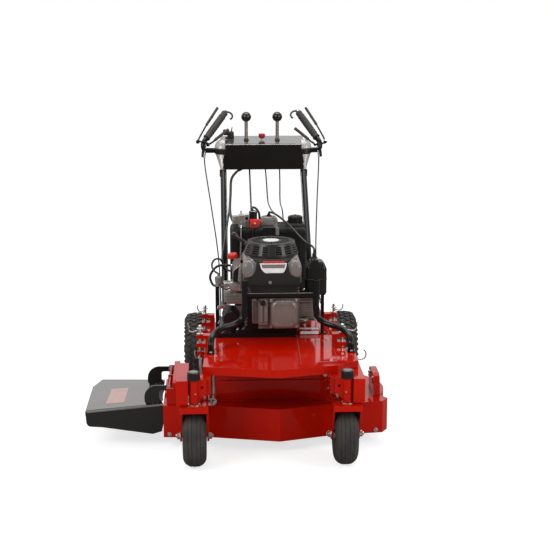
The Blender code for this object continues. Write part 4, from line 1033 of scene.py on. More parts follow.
# The dark panel and skirt are partly painted shade: the same moulding, darker where its faces turn from the
# light
keep(merge(panel, blower_skirt()), "dark_front_panel", dark_plastic, slot="engine_plastic")
keep(shadow_apron, "recoil_painted_shadow", deep_black, slot="engine_plastic")
print(len(made_pieces), "pieces so far")

# %% [markdown]
# A plain silver plate in the shape of a trapezoid sits on the sunken panel, below a thin red strip. They
# are flat outlines with a fine bevel, so that their edges catch the light.

# %% Plate and strip on the panel
badge = flat(
    [
        (-0.054, 0.6895), (0.054, 0.6895), (0.05, 0.668), (0.042, 0.653), (0.036, 0.65), (-0.03, 0.65),
        (-0.037, 0.653), (-0.048, 0.668),
    ],
    0.0022, "XZ", 0.4482, edge=0.0008,
)
keep(badge, "bare_badge_plate", label_silver, slot="engine_plastic")
inner = flat(
    [(-0.047, 0.685), (0.048, 0.685), (0.044, 0.67), (-0.042, 0.67)], 0.001, "XZ", 0.4476, edge=0.0003,
)
keep(inner, "badge_inlay", pale_plastic)
strip = flat(
    [(-0.041, 0.6975), (0.044, 0.6975), (0.045, 0.691), (-0.042, 0.691)], 0.004, "XZ", 0.449, edge=0.0006,
)
keep(strip, "badge_strip", red_plastic)
bolts = [((-0.012, 0.4485, 0.612), (0, -1, 0))]
keep(heads(bolts, radius=0.0048, height=0.004), "housing_bolts", zinc)
print("plate, strip and", len(bolts), "front bolt")

# %% [markdown]
# Over the flywheel sits the recoil cover. It is a drum with louvres all round and radial slots on top,
# so that the fan can draw air. The slots are real openings: rings, posts and spokes stand before a deep
# black drum, whose black also paints the shade inside the cover.

# %% Recoil cover
RECOIL = Vector((-0.003, 0.595, 0.703))
CAGE_LOW, CAGE_HIGH = (0.109, 0.0085), (0.0965, 0.0455)


def cage_radius(height):
    # The wall leans inwards as it rises
    share = (height - CAGE_LOW[1]) / (CAGE_HIGH[1] - CAGE_LOW[1])
    return CAGE_LOW[0] + (CAGE_HIGH[0] - CAGE_LOW[0]) * share


def recoil_core():
    return turned(
        [(0.0, 0.044), (0.086, 0.044), (0.09, 0.042), (0.102, 0.003), (0.102, 0.0), (0.0, 0.0)], RECOIL,
        sides=64,
    )


def louvre(height, tall=0.004, deep=0.005):
    outer = cage_radius(height)
    upper = cage_radius(height + tall)
    return turned(
        [
            (upper - deep, height + tall), (upper - 0.0007, height + tall), (upper, height + tall - 0.0007),
            (outer, height + 0.0007), (outer - 0.0007, height), (upper - deep, height),
            (upper - deep, height + tall),
        ],
        RECOIL, sides=80,
    )


def cage_panel(middle, width):
    # A solid panel between two columns of slots, as a short arc of the wall
    low, high = 0.006, 0.0475
    rings = []
    for step in range(7):
        angle = math.radians(middle - width / 2 + width * step / 6)
        turn = Matrix.Translation(RECOIL) @ Matrix.Rotation(angle, 4, "Z")
        profile = [
            (cage_radius(low) - 0.006, low), (cage_radius(low) + 0.0012, low),
            (cage_radius(high) + 0.0012, high), (cage_radius(high) - 0.006, high),
        ]
        rings.append([turn @ Vector((radius, 0.0, height)) for radius, height in profile])
    return rounded(swept(rings), 0.0008, 2, 50.0)


def recoil_cage():
    shape = turned(
        [
            (0.095, 0.01), (0.1085, 0.01), (0.11, 0.0085), (0.111, 0.001), (0.11, 0.0), (0.095, 0.0),
            (0.095, 0.01),
        ],
        RECOIL, sides=80,
    )
    for height in (0.0148, 0.0236, 0.0324):
        merge(shape, louvre(height))
    top = turned(
        [
            (0.078, 0.052), (0.09, 0.0535), (0.095, 0.052), (0.0975, 0.048), (0.099, 0.0412), (0.093, 0.0412),
            (0.09, 0.048), (0.078, 0.048), (0.078, 0.052),
        ],
        RECOIL, sides=80,
    )
    hub = turned(
        [(0.0, 0.053), (0.038, 0.053), (0.04, 0.0515), (0.04, 0.046), (0.0, 0.046)], RECOIL, sides=64,
    )
    merge(shape, top, hub)
    spokes = 30
    for turn in range(spokes):
        spoke = block((0.038, -0.0022, 0.047), (0.08, 0.0022, 0.0514), 0.0009, 1)
        spin = Matrix.Translation(RECOIL) @ Matrix.Rotation(2 * math.pi * turn / spokes, 4, "Z")
        bmesh.ops.transform(spoke, matrix=spin, verts=spoke.verts)
        merge(shape, spoke)
    panels = 14
    for turn in range(panels):
        merge(shape, cage_panel(270.0 + 360.0 * turn / panels, 17.0 if turn == 0 else 9.5))
    return shape


# The drum's deep black is partly painted shade for the dark inside of the cover
keep(recoil_core(), "recoil_drum", deep_black)
keep(recoil_cage(), "louvred_recoil_cover", dark_plastic, "frame", ["recoil_cover"])
plate = turned(
    [(0.0, 0.0012), (0.032, 0.0012), (0.033, 0.0006), (0.033, 0.0), (0.0, 0.0)],
    RECOIL + Vector((0, 0, 0.0529)),
)
keep(plate, "recoil_centre_plate", label_silver)
print("recoil cover with 30 spokes and 14 panels")

# %% [markdown]
# The starter grip is a turned handle that rests in its eyelet. Its rope is wound up inside the cover and
# shows only when the grip is pulled, so it is one tube that stretches between the eyelet and the grip.

# %% Starter grip and rope
eyelet = bar((-0.084, 0.64, 0.718), (-0.104, 0.676, 0.729), 0.012, 0.0085, edge=0.001)
keep(eyelet, "starter_eyelet", dark_plastic)
grip = turned(
    [
        (0.0, 0.0), (0.0068, 0.0), (0.008, 0.002), (0.008, 0.01), (0.0068, 0.025), (0.0078, 0.036),
        (0.012, 0.043), (0.0138, 0.052), (0.013, 0.062), (0.0095, 0.067), (0.0, 0.068),
    ],
    (-0.1065, 0.68, 0.7305), (-0.84, 0.1, 0.56), 32,
)
keep(grip, "starter_grip", dark_plastic, "recoil_grip", ["recoil_grip"])
rope_start, rope_end = Vector((-0.0985, 0.6768, 0.7299)), Vector((-0.111, 0.6768, 0.7299))
rope = tube([rope_start.lerp(rope_end, step / 30) for step in range(31)], 0.002, 1)
rope_piece = keep(rope, "starter_rope", grip_rubber, None)
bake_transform(rope_piece)
print("the rope's ends lie", round((rope_end - rope_start).length, 4), "m apart at rest")

# %% [markdown]
# The cylinder lies with its head to the front. Its rocker cover is a bare casting with a bolted rim and a
# plain sunken panel. Beside it run the pushrod tubes, and fins stand behind it.

# %% Cylinder head and rocker cover
def rocker_cover():
    low, high = (-0.0185, 0.431), (0.0975, 0.555)
    steps = [
        (0.0, 0.4247), (0.0, 0.418), (0.0045, 0.4165), (0.005, 0.399), (0.0075, 0.393), (0.012, 0.3895),
        (0.017, 0.3882),
    ]
    shape = drawn_in(low, high, 0.032, steps, plane="XZ")
    front = min(shape.faces, key=lambda face: face.calc_center_median().y)
    bmesh.ops.inset_region(shape, faces=[front], thickness=0.005, depth=0.0)
    bmesh.ops.inset_region(shape, faces=[front], thickness=0.0016, depth=0.0)
    bmesh.ops.translate(shape, vec=(0.0, 0.0016, 0.0), verts=front.verts)
    return shape


def cooling_fins(low, high, count, thin, axis="z"):
    # Thin plates between low and high, evenly spread along the axis
    low, high = Vector(low), Vector(high)
    shape = bmesh.new()
    for step in range(count):
        a, b = low.copy(), high.copy()
        middle = getattr(low, axis) + (getattr(high, axis) - getattr(low, axis)) * (step + 0.5) / count
        setattr(a, axis, middle - thin / 2)
        setattr(b, axis, middle + thin / 2)
        merge(shape, block(a, b, thin * 0.25, 1))
    return shape


keep(rocker_cover(), "bolted_rocker_cover", cast_alloy, "frame", ["rocker_cover"], smooth=40.0)
corners = [(-0.0095, 0.4405), (0.0885, 0.4405), (-0.0095, 0.5455), (0.0885, 0.5455)]
cover_bolts = [((x, 0.4178, z), (0, -1, 0)) for x, z in corners]
keep(heads(cover_bolts, radius=0.0046, height=0.005), "cover_bolts", zinc)
head = merge(
    block((-0.056, 0.428, 0.428), (0.101, 0.469, 0.562), 0.005),
    cooling_fins((-0.061, 0.427, 0.426), (0.1045, 0.466, 0.566), 13, 0.0032),
    block((-0.062, 0.402, 0.447), (-0.022, 0.44, 0.55), 0.008, 3),
    bar((-0.051, 0.401, 0.464), (-0.051, 0.401, 0.533), 0.0085, edge=0.002),
    bar((-0.032, 0.401, 0.464), (-0.032, 0.401, 0.533), 0.0085, edge=0.002),
    block((-0.085, 0.425, 0.448), (-0.058, 0.465, 0.548), 0.007, 3),
)
keep(head, "finned_cylinder_head", cast_alloy, "frame", ["cylinder_head"])
boot = turned(
    [(0.0, 0.028), (0.005, 0.028), (0.0075, 0.024), (0.0085, 0.012), (0.01, 0.01), (0.01, 0.0), (0.0, 0.0)],
    (-0.042, 0.402, 0.54), (-0.15, -1.0, 0.25), 24,
)
keep(boot, "spark_plug_boot", black_plastic)
lead = tube(
    flowing([(-0.046, 0.377, 0.5465), (-0.06, 0.38, 0.556), (-0.082, 0.41, 0.568), (-0.1, 0.44, 0.59)]),
    0.0036,
)
keep(lead, "spark_plug_lead", hose_rubber)
print("head with 13 fins")

# %% [markdown]
# Round the crankcase are the small castings: the oil filter and the sump bolts low on the left of the
# picture, the finned exhaust box with its heat shield on the right.

# %% Crankcase, filter and exhaust
case = cooling_fins((-0.112, 0.474, 0.425), (0.106, 0.545, 0.59), 12, 0.0036)
keep(case, "cylinder_fins", cast_alloy)
ribs = cooling_fins((-0.1085, 0.55, 0.404), (0.1035, 0.726, 0.58), 5, 0.006, "y")
keep(ribs, "crankcase_ribs", black_coat)
sump = stack(
    (-0.15, 0.47, 0.086, 0.735, 0.03, 0.4021), (-0.15, 0.47, 0.086, 0.735, 0.03, 0.411),
    (-0.14, 0.478, 0.084, 0.73, 0.03, 0.415), (-0.12, 0.49, 0.082, 0.725, 0.03, 0.432),
)
keep(sump, "sump", black_coat)
sump_bolts = facing_up(0.4112, (-0.14, 0.49), (-0.142, 0.6), (-0.14, 0.715), (0.05, 0.486))
keep(heads(sump_bolts, radius=0.0052, height=0.005), "sump_bolts", zinc)
oil_filter = turned(
    [
        (0.0, 0.074), (0.024, 0.074), (0.029, 0.072), (0.032, 0.067), (0.0325, 0.06), (0.0335, 0.056),
        (0.0335, 0.006), (0.035, 0.004), (0.035, 0.0), (0.0, 0.0),
    ],
    (-0.169, 0.572, 0.456), (0, -1, -0.05),
)
keep(oil_filter, "oil_filter", black_plastic)
arm = merge(
    block((-0.2, 0.57, 0.422), (-0.1, 0.586, 0.49), 0.006),
    block((-0.185, 0.58, 0.404), (-0.15, 0.62, 0.45), 0.005),
)
keep(arm, "filter_mount", cast_alloy)
muffler = merge(
    block((0.101, 0.484, 0.444), (0.169, 0.616, 0.526), 0.016, 4),
    cooling_fins((0.1003, 0.48, 0.442), (0.172, 0.62, 0.528), 9, 0.003),
)
keep(muffler, "finned_muffler", cast_alloy, "frame", ["muffler"])
pipe = tube(bent([(0.085, 0.452, 0.452), (0.128, 0.448, 0.452), (0.134, 0.49, 0.456)], 0.016), 0.012, 5)
keep(pipe, "exhaust_pipe", dark_steel, slot="cast_aluminium")
shield = flat(rounded_corners((0.108, 0.53), (0.17, 0.566), 0.005), 0.0016, "XZ", 0.47, edge=0.0005)
keep(shield, "exhaust_shield", dark_steel, slot="cast_aluminium")
print(len(made_pieces), "pieces so far")

# %% [markdown]
# ## Engine guard
# Two bent tubes and a cross bar are welded into one hoop. Each leg rises from a foot plate, steps inwards
# over the plate and ends in a flat cap. Bends in real tube are smooth, so each is made of many short steps.

# %% Guard
GUARD_RADIUS = 0.0125
GUARD_FEET = {"right": (-0.249, -0.115), "left": (0.29, 0.166)}


def guard_leg(foot_x, top_x):
    # Share of the way from foot to post, distance back and height, down the long sweep of the bend
    sweep = [
        (0.0, 0.245, 0.3875), (0.0, 0.247, 0.416), (0.05, 0.276, 0.44), (0.27, 0.333, 0.4535),
        (0.66, 0.369, 0.462), (0.91, 0.382, 0.48), (1.0, 0.385, 0.52), (1.0, 0.385, 0.6325),
    ]
    path = flowing([(foot_x + (top_x - foot_x) * share, y, z) for share, y, z in sweep])
    shape = merge(
        tube(path, GUARD_RADIUS, 6),
        turned(
            [(0.0, 0.003), (0.013, 0.003), (0.0142, 0.0018), (0.0142, -0.003), (0.0, -0.003)],
            (top_x, 0.385, 0.633), sides=32,
        ),
    )
    foot = block((foot_x - 0.015, 0.2225, FOOT_LEVEL), (foot_x + 0.015, 0.2675, 0.389), 0.0015)
    return merge(shape, foot)


guard = merge(
    guard_leg(*GUARD_FEET["right"]), guard_leg(*GUARD_FEET["left"]),
    bar((GUARD_FEET["right"][1], 0.385, 0.574), (GUARD_FEET["left"][1], 0.385, 0.574), 0.0118, sides=32),
)
keep(guard, "bent_tube_guard", black_coat, "frame", ["engine_guard"])
foot_bolts = facing_up(0.3888, *[(foot_x, y) for foot_x, _ in GUARD_FEET.values() for y in (0.2275, 0.2625)])
keep(heads(foot_bolts, radius=0.0036, height=0.004), "guard_foot_bolts", zinc)
print("guard with", len(foot_bolts), "foot bolts")

# %% [markdown]
# ## Fuel and breathing
# The tank is a blow-moulded box with generous corners and a raised seam round its middle.
# A hump on it holds the roll-over valve, from which a breather hose runs to the vapour canister.

# %% Tank
def tank_body():
    low, high = (-0.164, 0.86), (0.161, 1.045)
    steps = [
        (0.02, 0.48), (0.009, 0.4835), (0.003, 0.49), (0.0, 0.5), (0.0, 0.735), (0.003, 0.7455),
        (0.009, 0.753), (0.02, 0.757),
    ]
    seam = [
        (low[0] - out, low[1] - out, high[0] + out, high[1] + out, radius, height)
        for out, radius, height in (
            (0.0005, 0.034, 0.615), (0.003, 0.036, 0.6165), (0.003, 0.036, 0.6205), (0.0005, 0.034, 0.622),
        )
    ]
    shape = merge(drawn_in(low, high, 0.034, steps), stack(*seam, count=8))
    for x in (-0.12, 0.12):
        merge(shape, block((x - 0.015, 0.9, FOOT_LEVEL), (x + 0.015, 0.93, 0.5), 0.003))
    return shape


keep(tank_body(), "moulded_fuel_tank", deep_black, "frame", ["fuel_tank"])
hump = stack(
    (-0.04, 0.918, 0.046, 0.992, 0.012, 0.755), (-0.0375, 0.92, 0.0435, 0.99, 0.012, 0.762),
    (-0.035, 0.923, 0.041, 0.987, 0.011, 0.782), (-0.03, 0.927, 0.036, 0.983, 0.01, 0.79),
    (-0.02, 0.935, 0.026, 0.975, 0.008, 0.7945),
)
keep(hump, "valve_hump", pale_plastic)
valve = turned(
    [
        (0.0, 0.012), (0.006, 0.012), (0.0072, 0.0105), (0.0072, 0.006), (0.012, 0.0055), (0.0125, 0.0),
        (0.0, 0.0),
    ],
    (0.004, 0.955, 0.793), sides=32,
)
keep(valve, "roll_over_valve", black_plastic)
print("tank with its hump and valve")

# %% [markdown]
# The filler neck rises from a raised pad. Its screw cap has finger ribs round the wall. The cap turns on
# its own joint, so it is a piece of its own.

# %% Filler neck and cap
FILLER = (0.118, 0.95)
neck = turned(
    [
        (0.02, 0.0), (0.034, 0.0), (0.0335, 0.005), (0.0285, 0.0085), (0.028, 0.018), (0.018, 0.018),
        (0.018, 0.0), (0.02, 0.0),
    ],
    (*FILLER, 0.752),
)
raised = stack(
    (0.072, 0.9, 0.158, 1.01, 0.02, 0.748), (0.074, 0.902, 0.156, 1.008, 0.02, 0.76),
    (0.082, 0.912, 0.15, 0.996, 0.024, 0.769),
)
collar = turned(
    [(0.02, 0.0), (0.0325, 0.0), (0.033, 0.002), (0.0318, 0.014), (0.02, 0.014), (0.02, 0.0)],
    (*FILLER, 0.756),
)
keep(merge(neck, raised, collar), "filler_neck", deep_black)


def ribbed_cap(centre, radius, height, ribs, crown):
    # A screw cap: finger ribs round the wall and a slightly raised crown
    wall = radius - 0.0014
    shape = turned(
        [
            (0.0, height), (crown, height), (crown + 0.002, height - 0.002), (wall - 0.003, height - 0.0028),
            (wall, height - 0.006), (wall, 0.0006), (wall - 0.001, 0.0), (0.0, 0.0),
        ],
        centre,
    )
    for turn in range(ribs):
        rib = block((-0.0014, -0.0016, 0.001), (0.0014, 0.0016, height - 0.0058), 0.0007, 1)
        spin = Matrix.Rotation(2 * math.pi * turn / ribs, 4, "Z") @ Matrix.Translation((wall, 0, 0))
        bmesh.ops.transform(rib, matrix=Matrix.Translation(centre) @ spin, verts=rib.verts)
        merge(shape, rib)
    return shape


cap = merge(
    ribbed_cap((*FILLER, 0.7703), 0.032, 0.028, 20, 0.016),
    block((0.115, 0.938, 0.796), (0.121, 0.962, 0.801), 0.0012),
)
keep(cap, "ribbed_fuel_cap", black_plastic, "fuel_cap", ["fuel_cap"])
print("filler neck and cap")

# %% [markdown]
# Beside the hump stand the small parts that feed the engine: a finned regulator, a round vapour valve
# and a red tap with a thin pipe. They are simple castings and mouldings, so blocks and turned shapes do.

# %% Tank fittings
BREATHER = (-0.065, 0.92)
regulator = merge(
    block((-0.129, 0.885, 0.756), (-0.099, 0.915, 0.812), 0.004, 3),
    block((-0.15, 0.89, 0.773), (-0.127, 0.91, 0.807), 0.003),
)
for step in range(5):
    low_z = 0.771 + 0.0078 * step
    merge(regulator, block((-0.1555, 0.886, low_z), (-0.129, 0.914, low_z + 0.003), 0.0012))
merge(
    regulator, block((-0.107, 0.887, 0.776), (-0.0815, 0.913, 0.813), 0.004, 3),
    turned([(0.0, 0.018), (0.0026, 0.017), (0.0034, 0.0), (0.0, 0.0)], (-0.117, 0.9, 0.811), sides=20),
    bar((-0.114, 0.886, 0.778), (-0.114, 0.88, 0.778), 0.007, edge=0.001),
)
keep(regulator, "finned_regulator", bright_alloy)
port = turned(
    [(0.0, 0.0014), (0.0062, 0.0014), (0.007, 0.0006), (0.007, 0.0), (0.0, 0.0)], (-0.094, 0.8872, 0.796),
    (0, -1, 0), 28,
)
keep(port, "regulator_port", deep_black)
breather = turned(
    [
        (0.0, 0.067), (0.015, 0.067), (0.0176, 0.065), (0.018, 0.06), (0.0172, 0.058), (0.0172, 0.006),
        (0.019, 0.004), (0.019, 0.0), (0.0, 0.0),
    ],
    (*BREATHER, 0.756), sides=40,
)
keep(breather, "tank_breather", black_plastic)
cap_ring = turned(
    [(0.013, 0.0014), (0.0162, 0.0014), (0.017, 0.0006), (0.017, 0.0), (0.013, 0.0), (0.013, 0.0014)],
    (*BREATHER, 0.8224), sides=40,
)
keep(cap_ring, "breather_ring", zinc)
tap = merge(
    flat(
        [
            (-0.08, 0.792), (-0.0335, 0.792), (-0.0335, 0.784), (-0.048, 0.7575), (-0.058, 0.755),
            (-0.08, 0.756),
        ],
        0.02, "XZ", 0.877, edge=0.002, steps=3,
    ),
    block((-0.074, 0.89, 0.755), (-0.05, 0.906, 0.77)),
    bar((-0.06, 0.8775, 0.774), (-0.06, 0.87, 0.774), 0.0085, sides=28, edge=0.0012),
)
keep(tap, "red_fuel_tap", red_plastic)
pipes = tube(
    bent(
        [(-0.118, 0.883, 0.769), (-0.118, 0.8535, 0.769), (-0.123, 0.8535, 0.565), (-0.123, 0.864, 0.56)],
        0.01, 8,
    ),
    0.0034,
)
tap_pipe = tube(
    bent(
        [(-0.069, 0.879, 0.764), (-0.069, 0.8535, 0.764), (-0.069, 0.8535, 0.662), (-0.069, 0.864, 0.656)],
        0.008, 8,
    ),
    0.0036,
)
keep(tap_pipe, "tap_pipe", hose_rubber)
merge(
    pipes, bar((-0.123, 0.8635, 0.56), (-0.123, 0.857, 0.56), 0.0065, sides=20, edge=0.0008),
    bar((-0.069, 0.8635, 0.656), (-0.069, 0.8575, 0.656), 0.006, sides=20, edge=0.0008),
    heads([((-0.06, 0.87, 0.774), (0, -1, 0))], radius=0.0045, height=0.003),
)
keep(pipes, "tank_pipes", zinc)
bridge = tube(
    flowing([
        (*BREATHER, 0.82), (-0.07, 0.933, 0.834), (-0.056, 0.938, 0.833), (-0.04, 0.94, 0.813),
        (-0.036, 0.945, 0.783), (-0.033, 0.95, 0.772),
    ]),
    0.005,
)
keep(bridge, "breather_hose", hose_rubber)
boss = merge(
    block((-0.026, 0.852, 0.725), (0.028, 0.87, 0.763), 0.004, 3),
    block((-0.02, 0.865, 0.754), (0.022, 0.925, 0.762), 0.003),
)
keep(boss, "tank_front_boss", black_plastic)
side_face = merge(
    block((0.0284, 0.853, 0.727), (0.044, 0.869, 0.76), 0.003),
    block((0.024, 0.868, 0.754), (0.04, 0.925, 0.76), 0.0025),
)
keep(side_face, "boss_side", pale_plastic)
print("regulator, breather, tap and pipes on the tank")

# %% [markdown]
# Hoses are smooth curves through a few chosen points. Each end slips over a barb and is held by a band.

# %% Canister and hoses
def clamp(centre, axis, radius):
    return turned(
        [
            (radius - 0.0008, 0.0025), (radius + 0.0009, 0.0025), (radius + 0.0009, -0.0025),
            (radius - 0.0008, -0.0025), (radius - 0.0008, 0.0025),
        ],
        centre, axis, 28,
    )


canister = merge(
    drawn_in(
        (0.134, 0.5), (0.218, 0.6), 0.014,
        [(0.004, 0.549), (0.0, 0.554), (0.0, 0.652), (0.0045, 0.664), (0.013, 0.675), (0.019, 0.68)], 5,
    ),
    stack(
        (0.1345, 0.4985, 0.2175, 0.6015, 0.014, 0.608), (0.1325, 0.497, 0.2195, 0.603, 0.015, 0.6092),
        (0.1325, 0.497, 0.2195, 0.603, 0.015, 0.6118), (0.1345, 0.4985, 0.2175, 0.6015, 0.014, 0.613),
    ),
    turned(
        [(0.0, 0.022), (0.012, 0.022), (0.014, 0.02), (0.015, 0.012), (0.016, 0.0), (0.0, 0.0)],
        (0.17, 0.55, 0.672), sides=36,
    ),
    block((0.156, 0.5, 0.656), (0.184, 0.54, 0.692), 0.005),
)
keep(canister, "moulded_canister", black_plastic, "frame", ["vapour_canister"])
leg = merge(
    block((0.195, 0.515, FOOT_LEVEL), (0.209, 0.527, 0.553)),
    block((0.186, 0.505, FOOT_LEVEL), (0.216, 0.537, 0.3875), 0.001, 1),
    block((0.19, 0.512, 0.544), (0.214, 0.53, 0.5495), 0.001, 1),
)
keep(leg, "canister_leg", black_coat)
fitting = turned(
    [
        (0.0, 0.03), (0.0046, 0.03), (0.0055, 0.026), (0.0046, 0.022), (0.006, 0.016), (0.0085, 0.015),
        (0.0085, 0.0), (0.0, 0.0),
    ],
    (0.17, 0.55, 0.692), sides=24,
)
keep(fitting, "canister_barb", hose_rubber)
vapour = flowing([
    (0.004, 0.955, 0.799), (0.008, 0.95, 0.812), (0.04, 0.915, 0.803), (0.09, 0.86, 0.766),
    (0.143, 0.75, 0.722), (0.166, 0.64, 0.722), (0.17, 0.565, 0.724), (0.17, 0.55, 0.704),
])
keep(tube(vapour, 0.0045), "breather_hose", hose_rubber, "frame", ["vapour_hose"])
fuel = flowing([
    (-0.158, 0.59, 0.65), (-0.18, 0.592, 0.654), (-0.222, 0.598, 0.648), (-0.25, 0.6, 0.61),
    (-0.24, 0.59, 0.575), (-0.212, 0.575, 0.57), (-0.194, 0.57, 0.574),
])
keep(tube(fuel, 0.005), "fuel_loop", hose_rubber, "frame", ["fuel_hose"])
small_loop = flowing([
    (-0.19, 0.66, 0.62), (-0.206, 0.65, 0.664), (-0.23, 0.636, 0.67), (-0.243, 0.62, 0.652),
    (-0.236, 0.59, 0.634), (-0.217, 0.5535, 0.627),
])
keep(tube(small_loop, 0.004), "filter_hose", hose_rubber)
bands = merge(
    clamp((-0.164, 0.5905, 0.6515), (-1, 0.05, 0.1), 0.0052),
    clamp((-0.1985, 0.5712, 0.573), (-1, 0, 0), 0.0052), clamp((0.17, 0.5515, 0.708), (0, 0, 1), 0.005),
)
keep(bands, "hose_bands", zinc)
print("canister and three hoses")

# %% [markdown]
# At the starter's side of the engine sit the carburettor and the intake in bright casting. Beside them
# the air cleaner's box leans back at its top, with a bright line along its front edge.

# %% Intake side
carb = merge(
    block((-0.172, 0.533, 0.556), (-0.106, 0.598, 0.596), 0.006, 3),
    block((-0.197, 0.54, 0.564), (-0.168, 0.59, 0.592), 0.005, 3),
    bar((-0.16, 0.532, 0.576), (-0.16, 0.53, 0.576), 0.012, edge=0.001),
    turned(
        [(0.0, 0.0), (0.015, 0.0), (0.0155, 0.003), (0.0155, 0.015), (0.013, 0.018), (0.0, 0.018)],
        (-0.148, 0.565, 0.54), sides=36,
    ),
    bar((-0.185, 0.534, 0.57), (-0.135, 0.534, 0.586), 0.003, sides=16),
    bar((-0.13, 0.5315, 0.585), (-0.13, 0.531, 0.56), 0.0035, sides=16),
)
keep(carb, "cast_carburettor", bright_alloy, "frame", ["carburettor"])
carb_screws = [
    ((-0.166, 0.533, 0.59), (0, -1, 0)), ((-0.112, 0.533, 0.59), (0, -1, 0)),
    ((-0.112, 0.533, 0.562), (0, -1, 0)),
]
keep(heads(carb_screws, radius=0.0034, height=0.003), "carburettor_screws", zinc)
intake = merge(
    cooling_fins((-0.195, 0.545, 0.508), (-0.106, 0.6, 0.553), 4, 0.004),
    block((-0.188, 0.552, 0.5), (-0.106, 0.6, 0.55), 0.004),
)
keep(intake, "intake_manifold", bright_alloy)

cleaner = stack(
    (-0.158, 0.502, -0.1243, 0.678, 0.01, 0.602), (-0.16, 0.5, -0.1243, 0.68, 0.012, 0.606),
    (-0.16, 0.5, -0.1243, 0.68, 0.012, 0.65), (-0.15, 0.506, -0.1243, 0.674, 0.01, 0.668), count=4,
)
keep(cleaner, "air_cleaner_box", engine_grey, "frame", ["air_cleaner"])
edge = flat(
    [(-0.159, 0.606), (-0.124, 0.606), (-0.124, 0.67), (-0.133, 0.669), (-0.153, 0.65), (-0.159, 0.642)],
    0.0018, "XZ", 0.498, edge=0.0006,
)
keep(edge, "cleaner_front_plate", black_plastic, slot="engine_plastic")
rim_line = tube(
    bent(
        [(-0.1586, 0.4985, 0.608), (-0.1586, 0.4985, 0.643), (-0.151, 0.4985, 0.656), (-0.13, 0.4985, 0.672)],
        0.006,
    ),
    0.0014,
)
keep(rim_line, "cleaner_bright_edge", bright_alloy)
print("carburettor, intake and air cleaner")

# %% [markdown]
# The snorkel is a short pipe with a red rain cap. Next to it stand the smoky fuel filter on its post and
# the throttle rod, a bent wire that runs down past the governor's arm.

# %% Snorkel, fuel filter and throttle rod
snorkel = merge(
    turned(
        [
            (0.0, 0.062), (0.013, 0.062), (0.015, 0.06), (0.015, 0.048), (0.0125, 0.044), (0.012, 0.0),
            (0.0, 0.0),
        ],
        (-0.153, 0.694, 0.606), sides=36,
    ),
    block((-0.166, 0.67, 0.595), (-0.133, 0.706, 0.616), 0.004),
)
keep(snorkel, "snorkel", black_plastic)
red_cap = merge(
    turned(
        [
            (0.0, 0.021), (0.012, 0.021), (0.019, 0.0188), (0.0215, 0.0145), (0.022, 0.002), (0.021, 0.0),
            (0.0, 0.0),
        ],
        (-0.156, 0.694, 0.664), (-0.16, -0.05, 1.0), 40,
    ),
    turned(
        [(0.0, 0.018), (0.007, 0.018), (0.01, 0.016), (0.011, 0.002), (0.01, 0.0), (0.0, 0.0)],
        (-0.149, 0.68, 0.676), (0.3, -1.0, -0.1), 28,
    ),
)
keep(red_cap, "snorkel_cap", red_plastic)
cone = turned(
    [
        (0.0, 0.052), (0.004, 0.052), (0.005, 0.043), (0.015, 0.039), (0.0165, 0.034), (0.015, 0.012),
        (0.012, 0.008), (0.0045, 0.006), (0.004, 0.0), (0.0, 0.0),
    ],
    (-0.214, 0.552, 0.5762), (-0.06, 0.03, 1.0), 36,
)
keep(cone, "fuel_filter", pale_plastic)
post = merge(
    block((-0.23, 0.594, FOOT_LEVEL), (-0.214, 0.606, 0.575)),
    block((-0.23, 0.542, 0.57), (-0.202, 0.606, 0.5765), 0.0015),
)
keep(post, "filter_post", black_coat)
throttle = merge(
    tube(
        bent(
            [
                (-0.195, 0.565, 0.58), (-0.208, 0.55, 0.58), (-0.211, 0.54, 0.575), (-0.211, 0.535, 0.44),
                (-0.22, 0.535, 0.425),
            ],
            0.006,
        ),
        0.0022,
    ),
    bar((-0.218, 0.53, 0.488), (-0.218, 0.55, 0.488), 0.006, sides=20, edge=0.001),
)
keep(throttle, "throttle_rod", zinc)
lever_plate = flat(
    [(-0.224, 0.48), (-0.17, 0.486), (-0.17, 0.5), (-0.22, 0.496)], 0.0025, "XZ", 0.55, edge=0.0006,
)
keep(lever_plate, "governor_arm", zinc)
print(len(made_pieces), "pieces so far")

# %% [markdown]
# ## Handle and console
# Two tubes run up from the plate to the console. The console is one folded sheet: a leaning front, two
# sides and a top with turned-down edges. The top is a separate lid here, with a painted highlight along its
# edge.

# %% Uprights
UPRIGHT_X = 0.189
uprights = bmesh.new()
for x in (-UPRIGHT_X, UPRIGHT_X):
    path = bent([(x, 1.452, 0.933), (x, 1.105, 0.6), (x, 1.0, FOOT_LEVEL)], 0.06, 12)
    foot = block((x - 0.022, 0.974, FOOT_LEVEL), (x + 0.022, 1.019, 0.3885), 0.0015)
    gusset_outline = [(0.976, 0.3885), (0.992, 0.3885), (1.018, 0.44), (1.01, 0.44)]
    gusset = flat(gusset_outline, 0.005, "YZ", x - 0.0025, edge=0.0008)
    clip = block((x - 0.016, 1.432, 0.9), (x + 0.016, 1.46, 0.9345), 0.004, 3)
    merge(uprights, tube(path, GUARD_RADIUS, 6), foot, gusset, clip)
merge(uprights, bar((-UPRIGHT_X, 1.028, 0.44), (UPRIGHT_X, 1.028, 0.44), 0.0115, sides=32))
keep(uprights, "handle_uprights", black_coat, "frame", ["handle_frame"])
upright_bolts = []
for x in (-UPRIGHT_X, UPRIGHT_X):
    upright_bolts.append(((x, 1.4325, 0.918), (0, -1, 0)))
    upright_bolts += facing_up(0.3882, (x + 0.0145, 0.9795), (x - 0.0145, 0.9795))
keep(heads(upright_bolts, radius=0.005, height=0.0045), "upright_bolts", zinc)
